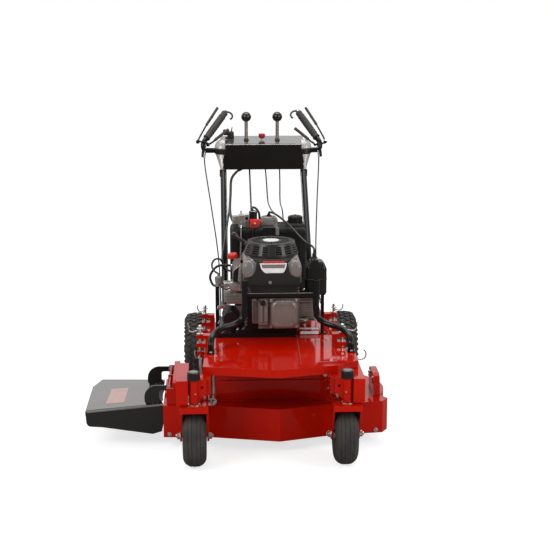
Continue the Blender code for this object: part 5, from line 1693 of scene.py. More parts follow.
# A thin steel rod along the inner side of each upright is a painted highlight of the tube's lit side face
highlight_strips = bmesh.new()
for x in (0.014 - UPRIGHT_X, UPRIGHT_X - 0.014):
    merge(highlight_strips, tube(bent([(x, 1.438, 0.924), (x, 1.1, 0.603), (x, 1.02, 0.44)], 0.06, 10), 0.003))
keep(highlight_strips, "upright_highlight_strips", dark_steel, slot="rubber")
print("uprights and", len(upright_bolts), "bolts")

# %% [markdown]
# The lid is a sheet of its own that leans back: its front edge is low and narrow, its rear edge high and
# wide. Slots for the levers and a hole for the pull knob are cut through it, and bright rods along its
# edges are a painted highlight.

# %% Console shell and lid
# The lid's edges, each (y, z, half width)
LID_FRONT = (1.46, 1.047, 0.174)
LID_REAR = (1.66, 1.066, 0.199)
KNOB_X = (-0.077, 0.07)
PULL_X = -0.003
LEVER_Y = 1.56
THROTTLE_Y = 1.616


def lid_height(y):
    share = (y - LID_FRONT[0]) / (LID_REAR[0] - LID_FRONT[0])
    return LID_FRONT[1] + (LID_REAR[1] - LID_FRONT[1]) * share


def console_lid():
    front_y, _, front_half = LID_FRONT
    rear_y, _, rear_half = LID_REAR
    outline = [
        (-front_half - 0.001, front_y - 0.001), (front_half + 0.001, front_y - 0.001),
        (rear_half + 0.001, rear_y + 0.001), (-rear_half - 0.001, rear_y + 0.001),
    ]
    holes = [
        rounded_corners((x - 0.009, LEVER_Y - 0.046), (x + 0.009, LEVER_Y + 0.046), 0.006, 4) for x in KNOB_X
    ]
    holes.append((PULL_X, LEVER_Y, 0.005))
    shape = flat(outline, 0.0024, "XY", 0.0, holes, 0.0007, 2)
    for v in shape.verts:
        v.co.z += lid_height(v.co.y) + 0.0003
    return shape


shell = copy_of("console", 0.003, 3, 30.0)
keep(shell, "folded_console", black_coat, "frame", ["console"])
keep(console_lid(), "console_lid", lid_gloss)
front_y, front_z, front_half = LID_FRONT
# Bright alloy rods along the lid's front and sides: a painted highlight of the light on its edge
edge = tube(
    [
        (-front_half - 0.002, front_y - 0.0022, front_z + 0.0005),
        (front_half + 0.002, front_y - 0.0022, front_z + 0.0005),
    ],
    0.0017,
)
for sign in SIGN.values():
    merge(
        edge,
        tube(
            [
                (sign * (front_half + 0.0015), front_y - 0.002, front_z + 0.0012),
                (sign * (LID_REAR[2] + 0.0015), LID_REAR[0], LID_REAR[1] + 0.0012),
            ],
            0.0014,
        ),
    )
keep(edge, "lid_painted_edge_highlight", bright_alloy, slot="zinc_steel")
inlay = flat(rounded_corners((-0.15, 1.472), (0.15, 1.5), 0.004), 0.0005)
for v in inlay.verts:
    v.co.z += lid_height(v.co.y) + 0.0028
keep(inlay, "bare_lid_band", lid_gloss, slot="black_plastic")
print("console shell, lid and bright edge")

# %% [markdown]
# At both ends the console carries a pressed funnel with a round pocket on top. The cross tube of each
# grip runs through it, held by a black collar.

# %% Console ends
def half_round(x_in, x_out, y_middle, half, count=8):
    # A D-shaped outline with its round side outwards
    reach = x_out - x_in
    points = [(x_in, y_middle - half), (x_in, y_middle + half)]
    for step in range(count + 1):
        angle = math.radians(90 - 180 * step / count)
        points.append((x_in + reach * (0.25 + 0.75 * math.cos(angle)), y_middle + half * math.sin(angle)))
    return points


def console_end(sign):
    funnel = loft([
        (half_round(sign * 0.19, sign * 0.201, 1.452, 0.014), 0.935),
        (half_round(sign * 0.187, sign * 0.208, 1.464, 0.02), 0.96),
        (half_round(sign * 0.184, sign * 0.217, 1.478, 0.026), 0.985),
        (half_round(sign * 0.18, sign * 0.224, 1.486, 0.03), 1.002),
    ])
    pocket = loft([
        (half_round(sign * 0.179, sign * 0.227, 1.49, 0.032), 1.03),
        (half_round(sign * 0.179, sign * 0.227, 1.492, 0.032), 1.04),
        (half_round(sign * 0.179, sign * 0.223, 1.496, 0.031), 1.05),
        (half_round(sign * 0.179, sign * 0.216, 1.5, 0.028), 1.059),
        (half_round(sign * 0.179, sign * 0.206, 1.504, 0.024), 1.066),
    ])
    return merge(funnel, pocket)


def console_collar(sign):
    return loft([
        (half_round(sign * 0.18, sign * 0.223, 1.487, 0.029), 1.0021),
        (half_round(sign * 0.179, sign * 0.228, 1.488, 0.034), 1.006),
        (half_round(sign * 0.179, sign * 0.229, 1.49, 0.035), 1.026),
        (half_round(sign * 0.179, sign * 0.225, 1.49, 0.031), 1.0299),
    ])


keep(merge(console_end(-1), console_end(1)), "console_ends", pale_zinc)
keep(merge(console_collar(-1), console_collar(1)), "grip_collars", black_plastic)
print("funnels and pockets at both ends")

# %% [markdown]
# The two tall levers end in ball knobs and pass through rubber boots. Between them a red pull knob
# stands on a thin stem.

# %% Lever knobs
def lever_rod(x):
    return merge(
        bar((x, LEVER_Y, 0.99), (x, LEVER_Y, 1.152), 0.0086, 0.008, 28, 0.001),
        bar((x - 0.01, LEVER_Y, 0.99), (x + 0.01, LEVER_Y, 0.99), 0.011, sides=28, edge=0.001),
        bar((x, LEVER_Y, 1.144), (x, LEVER_Y, 1.153), 0.0086, sides=6, edge=0.0008),
    )


def ball_knob(x):
    radius = 0.0236
    profile = [(0.0, radius)]
    for step in range(1, 16):
        angle = math.radians(90 - 150 * step / 15)
        profile.append((radius * math.cos(angle), radius * math.sin(angle)))
    profile += [(0.0096, -0.0222), (0.0, -0.0222)]
    return turned(profile, (x, LEVER_Y, 1.169), sides=40)


def boot(x):
    # A pleated rubber boot, flat and oval
    base = lid_height(LEVER_Y) + 0.0027
    layers = []
    for grow, rise in (
        (0.0, 0.0), (0.0012, 0.0012), (0.0, 0.0036), (-0.0012, 0.005), (-0.0006, 0.007), (-0.002, 0.0084),
    ):
        half_x, half_y = 0.011 + grow, 0.013 + grow
        layers.append((x - half_x, LEVER_Y - half_y, x + half_x, LEVER_Y + half_y, 0.009, base + rise))
    return stack(*layers)


for name, x in zip(("shift_lever", "blade_lever"), KNOB_X):
    keep(lever_rod(x), name + "_rod", lever_steel, name, [name])
    keep(ball_knob(x), name + "_knob", gloss_black, name)
keep(merge(*[boot(x) for x in KNOB_X]), "lever_boots", hose_rubber)
pull = turned(
    [
        (0.0, 0.022), (0.011, 0.022), (0.0145, 0.0205), (0.0158, 0.017), (0.0158, 0.008), (0.0125, 0.002),
        (0.01, 0.0), (0.0, 0.0),
    ],
    (PULL_X, LEVER_Y, 1.0675), sides=40,
)
keep(pull, "red_pull_knob", dark_red, "stop_knob", ["stop_knob"])
stem = bar((PULL_X, LEVER_Y, 1.03), (PULL_X, LEVER_Y, 1.069), 0.0038, sides=20)
keep(stem, "pull_stem", zinc, "stop_knob")
throttle_base = merge(
    block((-0.176, 1.6, 1.063), (-0.134, 1.634, 1.069)),
    bar((-0.15, THROTTLE_Y, 1.066), (-0.15, THROTTLE_Y, 1.094), 0.0165, 0.015, 36, 0.003),
    bar((-0.182, THROTTLE_Y, 1.086), (-0.14, THROTTLE_Y, 1.086), 0.01, sides=28, edge=0.002),
    bar((-0.183, THROTTLE_Y, 1.089), (-0.17, THROTTLE_Y, 1.096), 0.013, 0.012, 28, 0.003),
    bar((-0.147, THROTTLE_Y, 1.091), (-0.143, 1.618, 1.115), 0.0034, 0.0018, 16),
)
keep(throttle_base, "throttle_control", dark_plastic)
print("levers, boots, pull knob and throttle control")

# %% [markdown]
# ## Grips
# Each handle is one bent tube with a rubber sleeve. Two levers turn on pins at its lower end: the upper
# one keeps the engine running, the lower one lifts the belt. A hooked thumb latch at the tip holds it.

# %% Grip tubes and sleeves
GRIP_BASE = {"right": Vector((-0.282, 1.5, 1.052)), "left": Vector((0.27, 1.5, 1.052))}
GRIP_TIP = {"right": Vector((-0.178, 1.62, 1.181)), "left": Vector((0.176, 1.62, 1.181))}
# Pivots on a grip, each (forward along it, up from it)
UPPER_PIVOT = (-0.004, 0.026)
LOWER_PIVOT = (0.002, -0.026)
LATCH_PIVOT = (0.212, 0.0)


def grip_axes(side):
    base = GRIP_BASE[side]
    along = (GRIP_TIP[side] - base).normalized()
    towards = Vector((SIGN[side] * 0.3, 0.62, 0.55))
    above = (towards - towards.dot(along) * along).normalized()
    return base, along, above, along.cross(above).normalized()


def at_grip(side, forward, up=0.0, across=0.0):
    base, along, above, across_axis = grip_axes(side)
    return base + along * forward + above * up + across_axis * across


def grip_tube(side):
    sign = SIGN[side]
    base, tip = GRIP_BASE[side], GRIP_TIP[side]
    inner = sign * 0.186
    path = bent([(inner, 1.495, 1.018), (base.x - sign * 0.004, 1.495, 1.018), base, tip], 0.018, 8)
    shape = tube(path, GUARD_RADIUS - 0.0004, 6)
    for pivot in (UPPER_PIVOT, LOWER_PIVOT):
        merge(
            shape,
            bar(at_grip(side, pivot[0] + 0.002, 0.0, 0.009), at_grip(side, *pivot, 0.009), 0.0042, sides=20),
            bar(at_grip(side, *pivot, -0.006), at_grip(side, *pivot, 0.013), 0.0035, sides=20),
        )
    length = (tip - base).length
    merge(
        shape, bar(at_grip(side, length - 0.002), at_grip(side, LATCH_PIVOT[0] - 0.0065), 0.0045, sides=20),
        bar(
            (base.x - sign * 0.004, 1.495, 1.016), (base.x - sign * 0.001, 1.484, 0.988), 0.0105, 0.0095, 28,
            0.002,
        ),
    )
    return shape


def grip_sleeve(side):
    # The rubber swells in the palm, narrows before the end flange and closes over the tube
    base, along, above, across = grip_axes(side)
    start = at_grip(side, 0.034)
    length = (GRIP_TIP[side] - base).length - 0.034
    profile = [
        (0.0, length + 0.0045), (0.011, length + 0.0045), (0.015, length + 0.0025), (0.016, length - 0.003),
        (0.015, length - 0.008), (0.0158, length - 0.03), (0.0168, length * 0.55), (0.016, length * 0.28),
        (0.0156, 0.008), (0.0175, 0.004), (0.0172, 0.0), (0.0, 0.0),
    ]
    shape = turned(profile, start, along, 36)
    grooves = 9
    for step in range(grooves):
        rise = length * (0.16 + 0.68 * step / (grooves - 1))
        merge(
            shape,
            turned(
                [(0.015, 0.0022), (0.0172, 0.0014), (0.0172, -0.0014), (0.015, -0.0022), (0.015, 0.0022)],
                start + along * rise, along, 36,
            ),
        )
    return shape


for side in SIGN:
    keep(grip_tube(side), side + "_bent_grip_tube", black_coat, "frame", [side + "_handle"])
    keep(grip_sleeve(side), side + "_rubber_grip", grip_rubber)
print("two grips with sleeves")

# %% [markdown]
# Every lever is a bent rod with an eye at its pivot and a rubber coat where the fingers pull. The latch
# is a hook that turns on a pin of its own at the tip of the grip.

# %% Levers and latches
def bent_lever(side, pivot, stations, radius):
    path = bent([at_grip(side, *pivot)] + [at_grip(side, *station) for station in stations], 0.012)
    # The rod starts in the wall of its eye
    path[0] = path[0].lerp(path[1], 0.0065 / (path[1] - path[0]).length)
    shape = tube(path, radius, 5)
    eye = turned(
        [
            (0.0042, 0.0042), (0.008, 0.0042), (0.0086, 0.0036), (0.0086, -0.0036), (0.008, -0.0042),
            (0.0042, -0.0042), (0.0042, 0.0042),
        ],
        at_grip(side, *pivot), grip_axes(side)[3], 28,
    )
    return merge(shape, eye)


def sleeve_on(side, stations, radius):
    return tube(bent([at_grip(side, *station) for station in stations], 0.012), radius, 5)


for side in SIGN:
    length = (GRIP_TIP[side] - GRIP_BASE[side]).length
    up = UPPER_PIVOT[1]
    upper = bent_lever(
        side, UPPER_PIVOT, [(0.02, up + 0.006), (0.1, up + 0.0155), (length + 0.012, up + 0.0218)], 0.004,
    )
    keep(upper, side + "_upper_lever", black_coat, side + "_presence_lever", [side + "_presence_lever"])
    coat = sleeve_on(side, [(0.104, up + 0.0157), (length + 0.0145, up + 0.0219)], 0.0064)
    merge(
        coat,
        bar(
            at_grip(side, 0.156, up + 0.02), at_grip(side, 0.156, up + 0.013, 0.003), 0.0062, 0.0068, 20,
            0.0012,
        ),
    )
    keep(coat, side + "_upper_lever_coat", grip_rubber, side + "_presence_lever")
    lower = bent_lever(side, LOWER_PIVOT, [(0.018, -up - 0.01), (0.09, -0.056), (0.121, -0.066)], 0.0045)
    keep(lower, side + "_lower_lever", black_coat, side + "_drive_lever", [side + "_drive_lever"])
    coat = sleeve_on(side, [(0.04, -0.0421), (0.09, -0.056), (0.124, -0.067)], 0.0072)
    keep(coat, side + "_lower_lever_coat", grip_rubber, side + "_drive_lever")
    bends = [
        LATCH_PIVOT, (0.218, -0.012), (0.2165, -0.028), (0.206, -0.042), (0.191, -0.046), (0.183, -0.042),
    ]
    hook = merge(
        tube(flowing([at_grip(side, *spot) for spot in bends], 6), 0.0043),
        turned(
            [
                (0.0, 0.005), (0.007, 0.005), (0.0085, 0.0038), (0.0085, -0.0038), (0.007, -0.005),
                (0.0, -0.005),
            ],
            at_grip(side, *LATCH_PIVOT), grip_axes(side)[3], 28,
        ),
    )
    keep(hook, side + "_latch_hook", black_plastic, side + "_thumb_latch", [side + "_thumb_latch"])
    pin = turned(
        [(0.0, 0.0064), (0.0032, 0.0064), (0.0038, 0.0058), (0.0038, 0.0048), (0.0, 0.0048)],
        at_grip(side, *LATCH_PIVOT), -grip_axes(side)[3], 20,
    )
    keep(pin, side + "_latch_pin", zinc, side + "_thumb_latch")
    caps = heads(
        [(at_grip(side, *pivot, -0.006), -grip_axes(side)[3]) for pivot in (UPPER_PIVOT, LOWER_PIVOT)],
        radius=0.0055, height=0.0035, washer=False,
    )
    keep(caps, side + "_pivot_nuts", zinc)
print("levers, coats and latches on both sides")

# %% [markdown]
# Cables run from the levers down the outside of the uprights. Ferrules close the ends of their sleeves.
# A wiring harness and the shift rod go down between the uprights.

# %% Cables, rods and harness
# How far the points of each cable lie outside the upright, and their (y, z)
CABLE_OUT = {
    "right": (0.087, 0.083, 0.056, 0.028, 0.019, 0.017), "left": (0.073, 0.069, 0.051, 0.035, 0.039, 0.047),
}
CABLE_AT = [(1.48, 0.999), (1.44, 0.94), (1.3, 0.78), (1.14, 0.6), (1.06, 0.46), (1.01, 0.392)]
for side, outs in CABLE_OUT.items():
    points = [Vector((SIGN[side] * (UPRIGHT_X + out), y, z)) for out, (y, z) in zip(outs, CABLE_AT)]
    route = flowing(points, 10)
    keep(tube(route, 0.0029), side + "_cable_sleeve", hose_rubber, "frame", [side + "_control_cable"])
    ferrule = merge(
        bar(route[0], route[0] + (route[1] - route[0]).normalized() * 0.016, 0.0042, 0.0038, 20, 0.0006),
        bar(route[-1], route[-1] + (route[-2] - route[-1]).normalized() * 0.014, 0.0042, 0.0038, 20, 0.0006),
    )
    wire_end = bar(route[0], at_grip(side, 0.004, -0.02), 0.0012, sides=12)
    keep(merge(ferrule, wire_end), side + "_cable_ends", zinc)

shift = tube(
    bent(
        [
            (-0.065, 1.505, 0.96), (-0.062, 1.15, 0.668), (-0.055, 1.069, 0.58), (-0.04, 1.069, 0.35),
            (-0.04, 0.9605, 0.345),
        ],
        0.02, 8,
    ),
    0.0038,
)
keep(shift, "bent_shift_rod", black_coat, "frame", ["shift_rod"], slot="zinc_steel")
harness = flowing([
    (-0.085, 1.5, 0.975), (-0.096, 1.47, 0.938), (-0.126, 1.43, 0.925), (-0.151, 1.37, 0.898),
    (-0.157, 1.25, 0.853), (-0.162, 1.08, 0.796), (-0.15, 0.98, 0.768), (-0.125, 0.94, 0.761),
])
keep(tube(harness, 0.0058), "wiring_sleeve", hose_rubber, "frame", ["wiring_harness"])
tail_route = flowing([
    (-0.1575, 1.25, 0.85), (-0.164, 1.12, 0.808), (-0.176, 0.98, 0.752), (-0.19, 0.85, 0.696),
    (-0.2, 0.76, 0.656), (-0.196, 0.7, 0.63), (-0.176, 0.672, 0.616), (-0.158, 0.66, 0.616),
])
keep(tube(tail_route, 0.0042), "engine_wires", hose_rubber)
first_strand = [
    (0.011, 1.555, 0.945), (0.012, 1.52, 0.925), (0.0145, 1.45, 0.87), (0.02, 1.425, 0.785),
    (0.024, 1.2, 0.785), (0.03, 1.0, 0.8),
]
second_strand = [
    (0.077, 1.5, 0.955), (0.077, 1.45, 0.88), (0.077, 1.425, 0.785), (0.074, 1.18, 0.785),
    (0.072, 1.05, 0.756),
]
strands = merge(tube(flowing(first_strand), 0.003), tube(flowing(second_strand), 0.003))
keep(strands, "console_cables", hose_rubber)
print(len(made_pieces), "pieces so far")

# %% [markdown]
# ## Frame details
# The carrier plate has bolted covers on the operator's left, so dark seams run over it. Small bolts hold
# the covers and the caster posts, and a plain bright bar lies on the ledge beside the engine.

# %% Cover seams, bolts and blank bar
PLATE_TOP = 0.383
seams = bmesh.new()
for start, end in (
    ((0.229, 0.61), (0.227, 0.112)), ((0.16, 0.399), (0.227, 0.397)), ((0.15, 0.098), (0.227, 0.112)),
    ((0.098, 0.56), (0.092, 0.3)), ((0.092, 0.3), (0.086, 0.072)),
):
    merge(
        seams,
        bar((start[0], start[1], PLATE_TOP - 0.0002), (end[0], end[1], PLATE_TOP - 0.0002), 0.0011, sides=8),
    )
keep(seams, "cover_seams", dark_steel, slot="black_plastic")
plate_bolts = facing_up(PLATE_TOP, (0.21, 0.429), (0.203, 0.122), (-0.232, 0.2), (0.255, 0.208))
keep(heads(plate_bolts, radius=0.004, height=0.0034), "plate_bolts", zinc)
painted_bolts = facing_up(
    PLATE_TOP, (-0.228, 0.3), (-0.225, 0.11), (-0.13, 0.062), (0.205, 0.58), (-0.19, 0.8), (0.205, 0.8),
)
keep(heads(painted_bolts, radius=0.0046, height=0.003), "painted_plate_bolts", red_paint)
ledge = block((0.104, 0.5, PLATE_TOP + 0.0003), (0.192, 0.72, 0.4), 0.004, 3)
keep(ledge, "engine_side_ledge", red_paint)
blank = merge(
    block((0.112, 0.4992, 0.3855), (0.186, 0.4999, 0.3975), 0.0002, 1),
    block((0.11, 0.52, 0.4001), (0.188, 0.545, 0.4006), 0.0002, 1),
)
keep(blank, "blank_bar", label_silver)
base_bolts = facing_up(0.4021, (-0.214, 0.482), (-0.215, 0.725), (0.078, 0.725), (-0.17, 0.478))
keep(heads(base_bolts, radius=0.0062, height=0.006), "engine_base_bolts", black_coat)
keep(heads(facing_up(0.4122, (0.066, 0.48)), radius=0.0056, height=0.0056), "bright_base_bolt", zinc)
print(len(plate_bolts) + len(base_bolts), "bolts on the plate")

# %% [markdown]
# A short bright link with a ball eye hangs behind the front lip, beside the right caster post. It steadies
# the deck's front and can be turned longer or shorter. A plate hung from the frame holds its stud.

# %% Front link
LINK_X, LINK_Y, LINK_EYE = -0.2425, 0.1, 0.235
LINK_AXIS = (0.28, -1.0, 0.1)


def eye_link():
    return merge(
        bar((LINK_X, LINK_Y, 0.266), (LINK_X, LINK_Y, 0.3788), 0.0073, sides=28, edge=0.0008),
        bar((LINK_X, LINK_Y, 0.244), (LINK_X, LINK_Y, 0.264), 0.005, 0.0042, edge=0.0004),
        turned(
            [
                (0.0078, 0.0055), (0.0112, 0.0055), (0.0132, 0.004), (0.0132, -0.004), (0.0112, -0.0055),
                (0.0078, -0.0055), (0.0078, 0.0055),
            ],
            (LINK_X, LINK_Y, LINK_EYE), LINK_AXIS, 36,
        ),
    )


keep(eye_link(), "front_link", bright_alloy, slot="zinc_steel")
out = Vector(LINK_AXIS).normalized()
eye_at = Vector((LINK_X, LINK_Y, LINK_EYE))
ball = merge(
    turned(
        [
            (0.0, 0.0085), (0.004, 0.008), (0.0066, 0.0052), (0.0077, 0.0), (0.0066, -0.0052),
            (0.004, -0.008), (0.0, -0.0085),
        ],
        eye_at, LINK_AXIS, 28,
    ),
    bar((LINK_X, LINK_Y, 0.2628), (LINK_X, LINK_Y, 0.2662), 0.007, sides=28),
)
keep(ball, "link_ball", dark_steel)
stud = merge(
    bar(eye_at - out * 0.024, eye_at + out * 0.014, 0.0038, sides=20, edge=0.0006),
    heads([(eye_at + out * 0.0078, out)], radius=0.0058, height=0.005, washer=False),
)
keep(stud, "link_stud", zinc)
lug = block((-0.256, 0.119, 0.224), (-0.232, 0.124, 0.3788), 0.0015)
keep(lug, "link_lug", red_paint)
lock = heads([((0.179, 0.0965, 0.335), (0, -1, 0))], radius=0.0052, height=0.005)
keep(lock, "link_nuts", zinc)
print("front link with eye and ball")

# %% [markdown]
# ## Deck details
# The cutter deck hangs from four bright rods. Each rod carries a washer and a bent wire pin over its
# bracket, and a red clevis where it meets the deck. Height is set by moving the pins.

# %% Hanger washers, pins and clevises
# Each pair of rods as (right x, left x, y)
HANGERS = {"front": (-0.291, 0.266, 0.35), "rear": (-0.274, 0.264, 0.68)}


def hollow_guide(x, y):
    # A short square guide with a round bore for the rod, welded to the edge of the plate
    body = flat(
        rounded_corners((x - 0.0115, y - 0.0125), (x + 0.0115, y + 0.0125), 0.004, 3), 0.022, "XY", 0.34,
        [(x, y, 0.0068)], 0.001,
    )
    inward = -1.0 if x > 0 else 1.0
    low_x, high_x = sorted((x + inward * 0.01, x + inward * 0.03))
    return merge(body, block((low_x, y - 0.008, 0.3475), (high_x, y + 0.008, 0.36)))


washers, clevises = bmesh.new(), bmesh.new()
for right_x, left_x, y in HANGERS.values():
    for x in (right_x, left_x):
        for z in (0.431, 0.452):
            merge(
                washers,
                turned(
                    [
                        (0.0062, 0.0022), (0.0125, 0.0022), (0.013, 0.0016), (0.013, 0.0), (0.0062, 0.0),
                        (0.0062, 0.0022),
                    ],
                    (x, y, z), sides=28,
                ),
            )
        merge(
            washers,
            turned(
                [(0.0, 0.0064), (0.004, 0.0064), (0.0061, 0.004), (0.0066, 0.0), (0.0, 0.0)], (x, y, 0.461),
                sides=20,
            ),
        )
        merge(clevises, hollow_guide(x, y))
keep(washers, "hanger_washers", zinc, "deck")
keep(clevises, "hanger_guides", red_paint)
pins = bmesh.new()
for route in (
    [
        (0.266, 0.35, 0.444), (0.288, 0.348, 0.4415), (0.306, 0.346, 0.4375), (0.317, 0.346, 0.442),
        (0.3235, 0.346, 0.456), (0.323, 0.346, 0.469), (0.329, 0.346, 0.4745),
    ],
    [
        (0.272, 0.338, 0.345), (0.3, 0.322, 0.338), (0.33, 0.304, 0.333), (0.348, 0.3, 0.338),
        (0.3555, 0.299, 0.352), (0.352, 0.299, 0.368), (0.3455, 0.3, 0.372),
    ],
    [
        (-0.291, 0.35, 0.444), (-0.304, 0.346, 0.445), (-0.322, 0.344, 0.44), (-0.333, 0.344, 0.446),
        (-0.335, 0.344, 0.462), (-0.339, 0.344, 0.475),
    ],
    [
        (-0.291, 0.34, 0.35), (-0.3, 0.326, 0.339), (-0.308, 0.32, 0.344), (-0.312, 0.319, 0.36),
        (-0.31, 0.32, 0.372),
    ],
    [(0.264, 0.68, 0.444), (0.29, 0.676, 0.442), (0.3, 0.674, 0.453), (0.301, 0.674, 0.468)],
    [(-0.274, 0.68, 0.444), (-0.296, 0.676, 0.442), (-0.304, 0.674, 0.453), (-0.305, 0.674, 0.468)],
):
    merge(pins, tube(flowing(route, 6), 0.0026))
keep(pins, "hitch_pins", zinc, "deck")
print("hanger hardware on four rods")

# %% [markdown]
# A pressed shield behind the deck's front wall keeps grass off the belts. Round its foot the wall has a
# rolled lip, and bolts join the front to the two ends.

# %% Shield, lips and deck bolts
shield = merge(
    flat(
        [(-0.232, 0.179), (0.202, 0.179), (0.202, 0.25), (0.19, 0.256), (-0.22, 0.256), (-0.232, 0.25)],
        0.003, "XZ", 0.295, edge=0.0008,
    ),
    block((-0.232, 0.276, 0.1785), (0.202, 0.2965, 0.1815), 0.0008, 1),
)
keep(shield, "deck_shield", red_paint, "deck")
lip = merge(
    tube(
        bent(
            [
                (-0.43, 0.2335, 0.0525), (-0.256, 0.2265, 0.0525), (0.012, 0.1615, 0.0525),
                (0.22, 0.2265, 0.0525), (0.416, 0.2535, 0.0525),
            ],
            0.01,
        ),
        0.0028,
    ),
    tube(bent([(-0.25, 0.2255, 0.177), (0.012, 0.162, 0.177), (0.216, 0.2255, 0.177)], 0.01), 0.0018),
)
keep(lip, "deck_lips", red_paint, "deck")
deck_bolts = [
    ((-0.258, 0.2245, 0.062), (0, -1, 0)), ((0.206, 0.219, 0.064), (0.2, -1, 0)),
    ((-0.412, 0.2315, 0.062), (0, -1, 0)), ((-0.3, 0.227, 0.15), (0, -1, 0)),
    ((0.392, 0.247, 0.062), (0.1, -1, 0)),
]
keep(heads(deck_bolts, radius=0.0058, height=0.005), "deck_bolts", zinc, "deck")
fold = merge(
    flat([(0.312, 0.179), (0.458, 0.179), (0.458, 0.184), (0.312, 0.184)], 0.029, "YZ", 0.3865, edge=0.001),
    bar((0.3855, 0.332, 0.23), (0.3855, 0.438, 0.23), 0.004, sides=16),
)
keep(fold, "side_plate_fold", red_paint, "deck")
guide = heads(
    [((0.3875, 0.335, 0.245), (-1, 0, 0)), ((0.3875, 0.43, 0.245), (-1, 0, 0))], radius=0.006, height=0.005,
)
keep(guide, "side_plate_bolts", zinc, "deck")
print("shield, lips and", len(deck_bolts), "deck bolts")

# %% [markdown]
# Two spindles carry the blades. Each turns in a cast housing on the deck's top, held by four bolts.

# %% Spindles
SPINDLES = {"right": (-0.195, 0.49), "left": (0.215, 0.45)}
for side, (x, y) in SPINDLES.items():
    housing = turned(
        [
            (0.013, 0.054), (0.022, 0.054), (0.0235, 0.052), (0.025, 0.012), (0.032, 0.006), (0.043, 0.004),
            (0.044, 0.0), (0.013, 0.0), (0.013, 0.054),
        ],
        (x, y, 0.1781),
    )
    keep(housing, side + "_spindle_housing", cast_alloy, "deck")
    flange = facing_up(0.1845, *ring((x, y), 0.036, 4, 45, 405))
    keep(heads(flange, radius=0.0058, height=0.005), side + "_spindle_bolts", zinc, "deck")
    nut = heads(facing_up(0.2625, (x, y)), radius=0.013, height=0.01)
    keep(nut, side + "_spindle_nut", zinc, side + "_cutter")
print(len(SPINDLES), "spindle housings")

# %% [markdown]
# A belt runs round the pulleys of both spindles, held tight by an idler. It is one closed band: its
# straight runs touch the pulleys along their outer tangents, which is the convex hull of the circles.

# %% Blade belt and idler
IDLER = (0.01, 0.4985)


def belt_loop(pulleys, height, tall, thick):
    # The outer hull of circles, each (x, y, radius), widened by the belt, as one closed band
    outline = [Vector(point) for x, y, radius in pulleys for point in ring((x, y), radius, 72)]
    order = geometry.convex_hull_2d(outline)
    hull = [outline[spot] for spot in order]
    middle = sum(hull, Vector((0.0, 0.0))) / len(hull)
    outer = []
    for before, here, after in zip(hull[-1:] + hull[:-1], hull, hull[1:] + hull[:1]):
        along = (after - before).normalized()
        out = Vector((along.y, -along.x))
        if out.dot(here - middle) < 0:
            out = -out
        outer.append(here + out * thick)
    shape = bmesh.new()
    rows = []
    for ring_points, z in (
        (hull, height), (outer, height + tall * 0.15), (outer, height + tall * 0.85), (hull, height + tall),
    ):
        rows.append([shape.verts.new((point.x, point.y, z)) for point in ring_points])
    for low, high in zip(rows, rows[1:] + rows[:1]):
        for here in range(len(hull)):
            after = (here + 1) % len(hull)
            shape.faces.new((low[here], low[after], high[after], high[here]))
    bmesh.ops.recalc_face_normals(shape, faces=shape.faces)
    return shape


blade_belt = belt_loop([(*SPINDLES["right"], 0.0565), (*SPINDLES["left"], 0.0565)], 0.2405, 0.0125, 0.005)
keep(blade_belt, "deck_belt", belt_rubber, "deck")
idler = merge(
    turned(
        [
            (0.006, 0.016), (0.03, 0.016), (0.0315, 0.0145), (0.029, 0.01), (0.029, 0.006), (0.0315, 0.0015),
            (0.03, 0.0), (0.006, 0.0), (0.006, 0.016),
        ],
        (*IDLER, 0.239),
    ),
    bar((*IDLER, 0.1785), (*IDLER, 0.257), 0.006, sides=20),
)
keep(idler, "belt_idler", dark_steel, "deck")
print("blade belt and idler")

# %% [markdown]
# ## Drive line and battery
# A belt from the crankshaft turns the gearbox, and outside each axle plate a shorter belt runs down to
# the wheel's pulley.

# %% Drive belts and gearbox bolts
gearbox_pulleys = [(0.0, crank_behind_kingpins, 0.0275), (0.016, 0.84, 0.0475)]
gearbox_belt = belt_loop(gearbox_pulleys, 0.2895, 0.0115, 0.0048)
keep(gearbox_belt, "gearbox_belt", belt_rubber)
for side, sign in SIGN.items():
    wheel_belt = belt_loop([(0.9, 0.335, 0.0253), (DRIVE_Y, DRIVE_RADIUS, 0.088)], -0.0055, 0.011, 0.0048)
    in_plane(wheel_belt, "YZ", DRIVE_X + sign * 0.226)
    keep(wheel_belt, side + "_wheel_belt", belt_rubber)
gear_low, gear_high = [Vector(corner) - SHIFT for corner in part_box("transmission")]
gear_bolts = []
for share in (0.12, 0.88):
    for height in (0.3, 0.75):
        at_x = gear_low.x + share * (gear_high.x - gear_low.x)
        at_z = gear_low.z + height * (gear_high.z - gear_low.z)
        gear_bolts += [
            ((at_x, gear_low.y - 0.0003, at_z), (0, -1, 0)), ((at_x, gear_high.y + 0.0003, at_z), (0, 1, 0)),
        ]
keep(heads(gear_bolts, radius=0.0052, height=0.005), "gearbox_bolts", zinc)
print("three belts and", len(gear_bolts), "gearbox bolts")

# %% [markdown]
# The battery for the starter stands behind the engine: a case on a shallow tray, with a lid that laps
# over it. A rubber strap holds it down, and its lead runs forward.

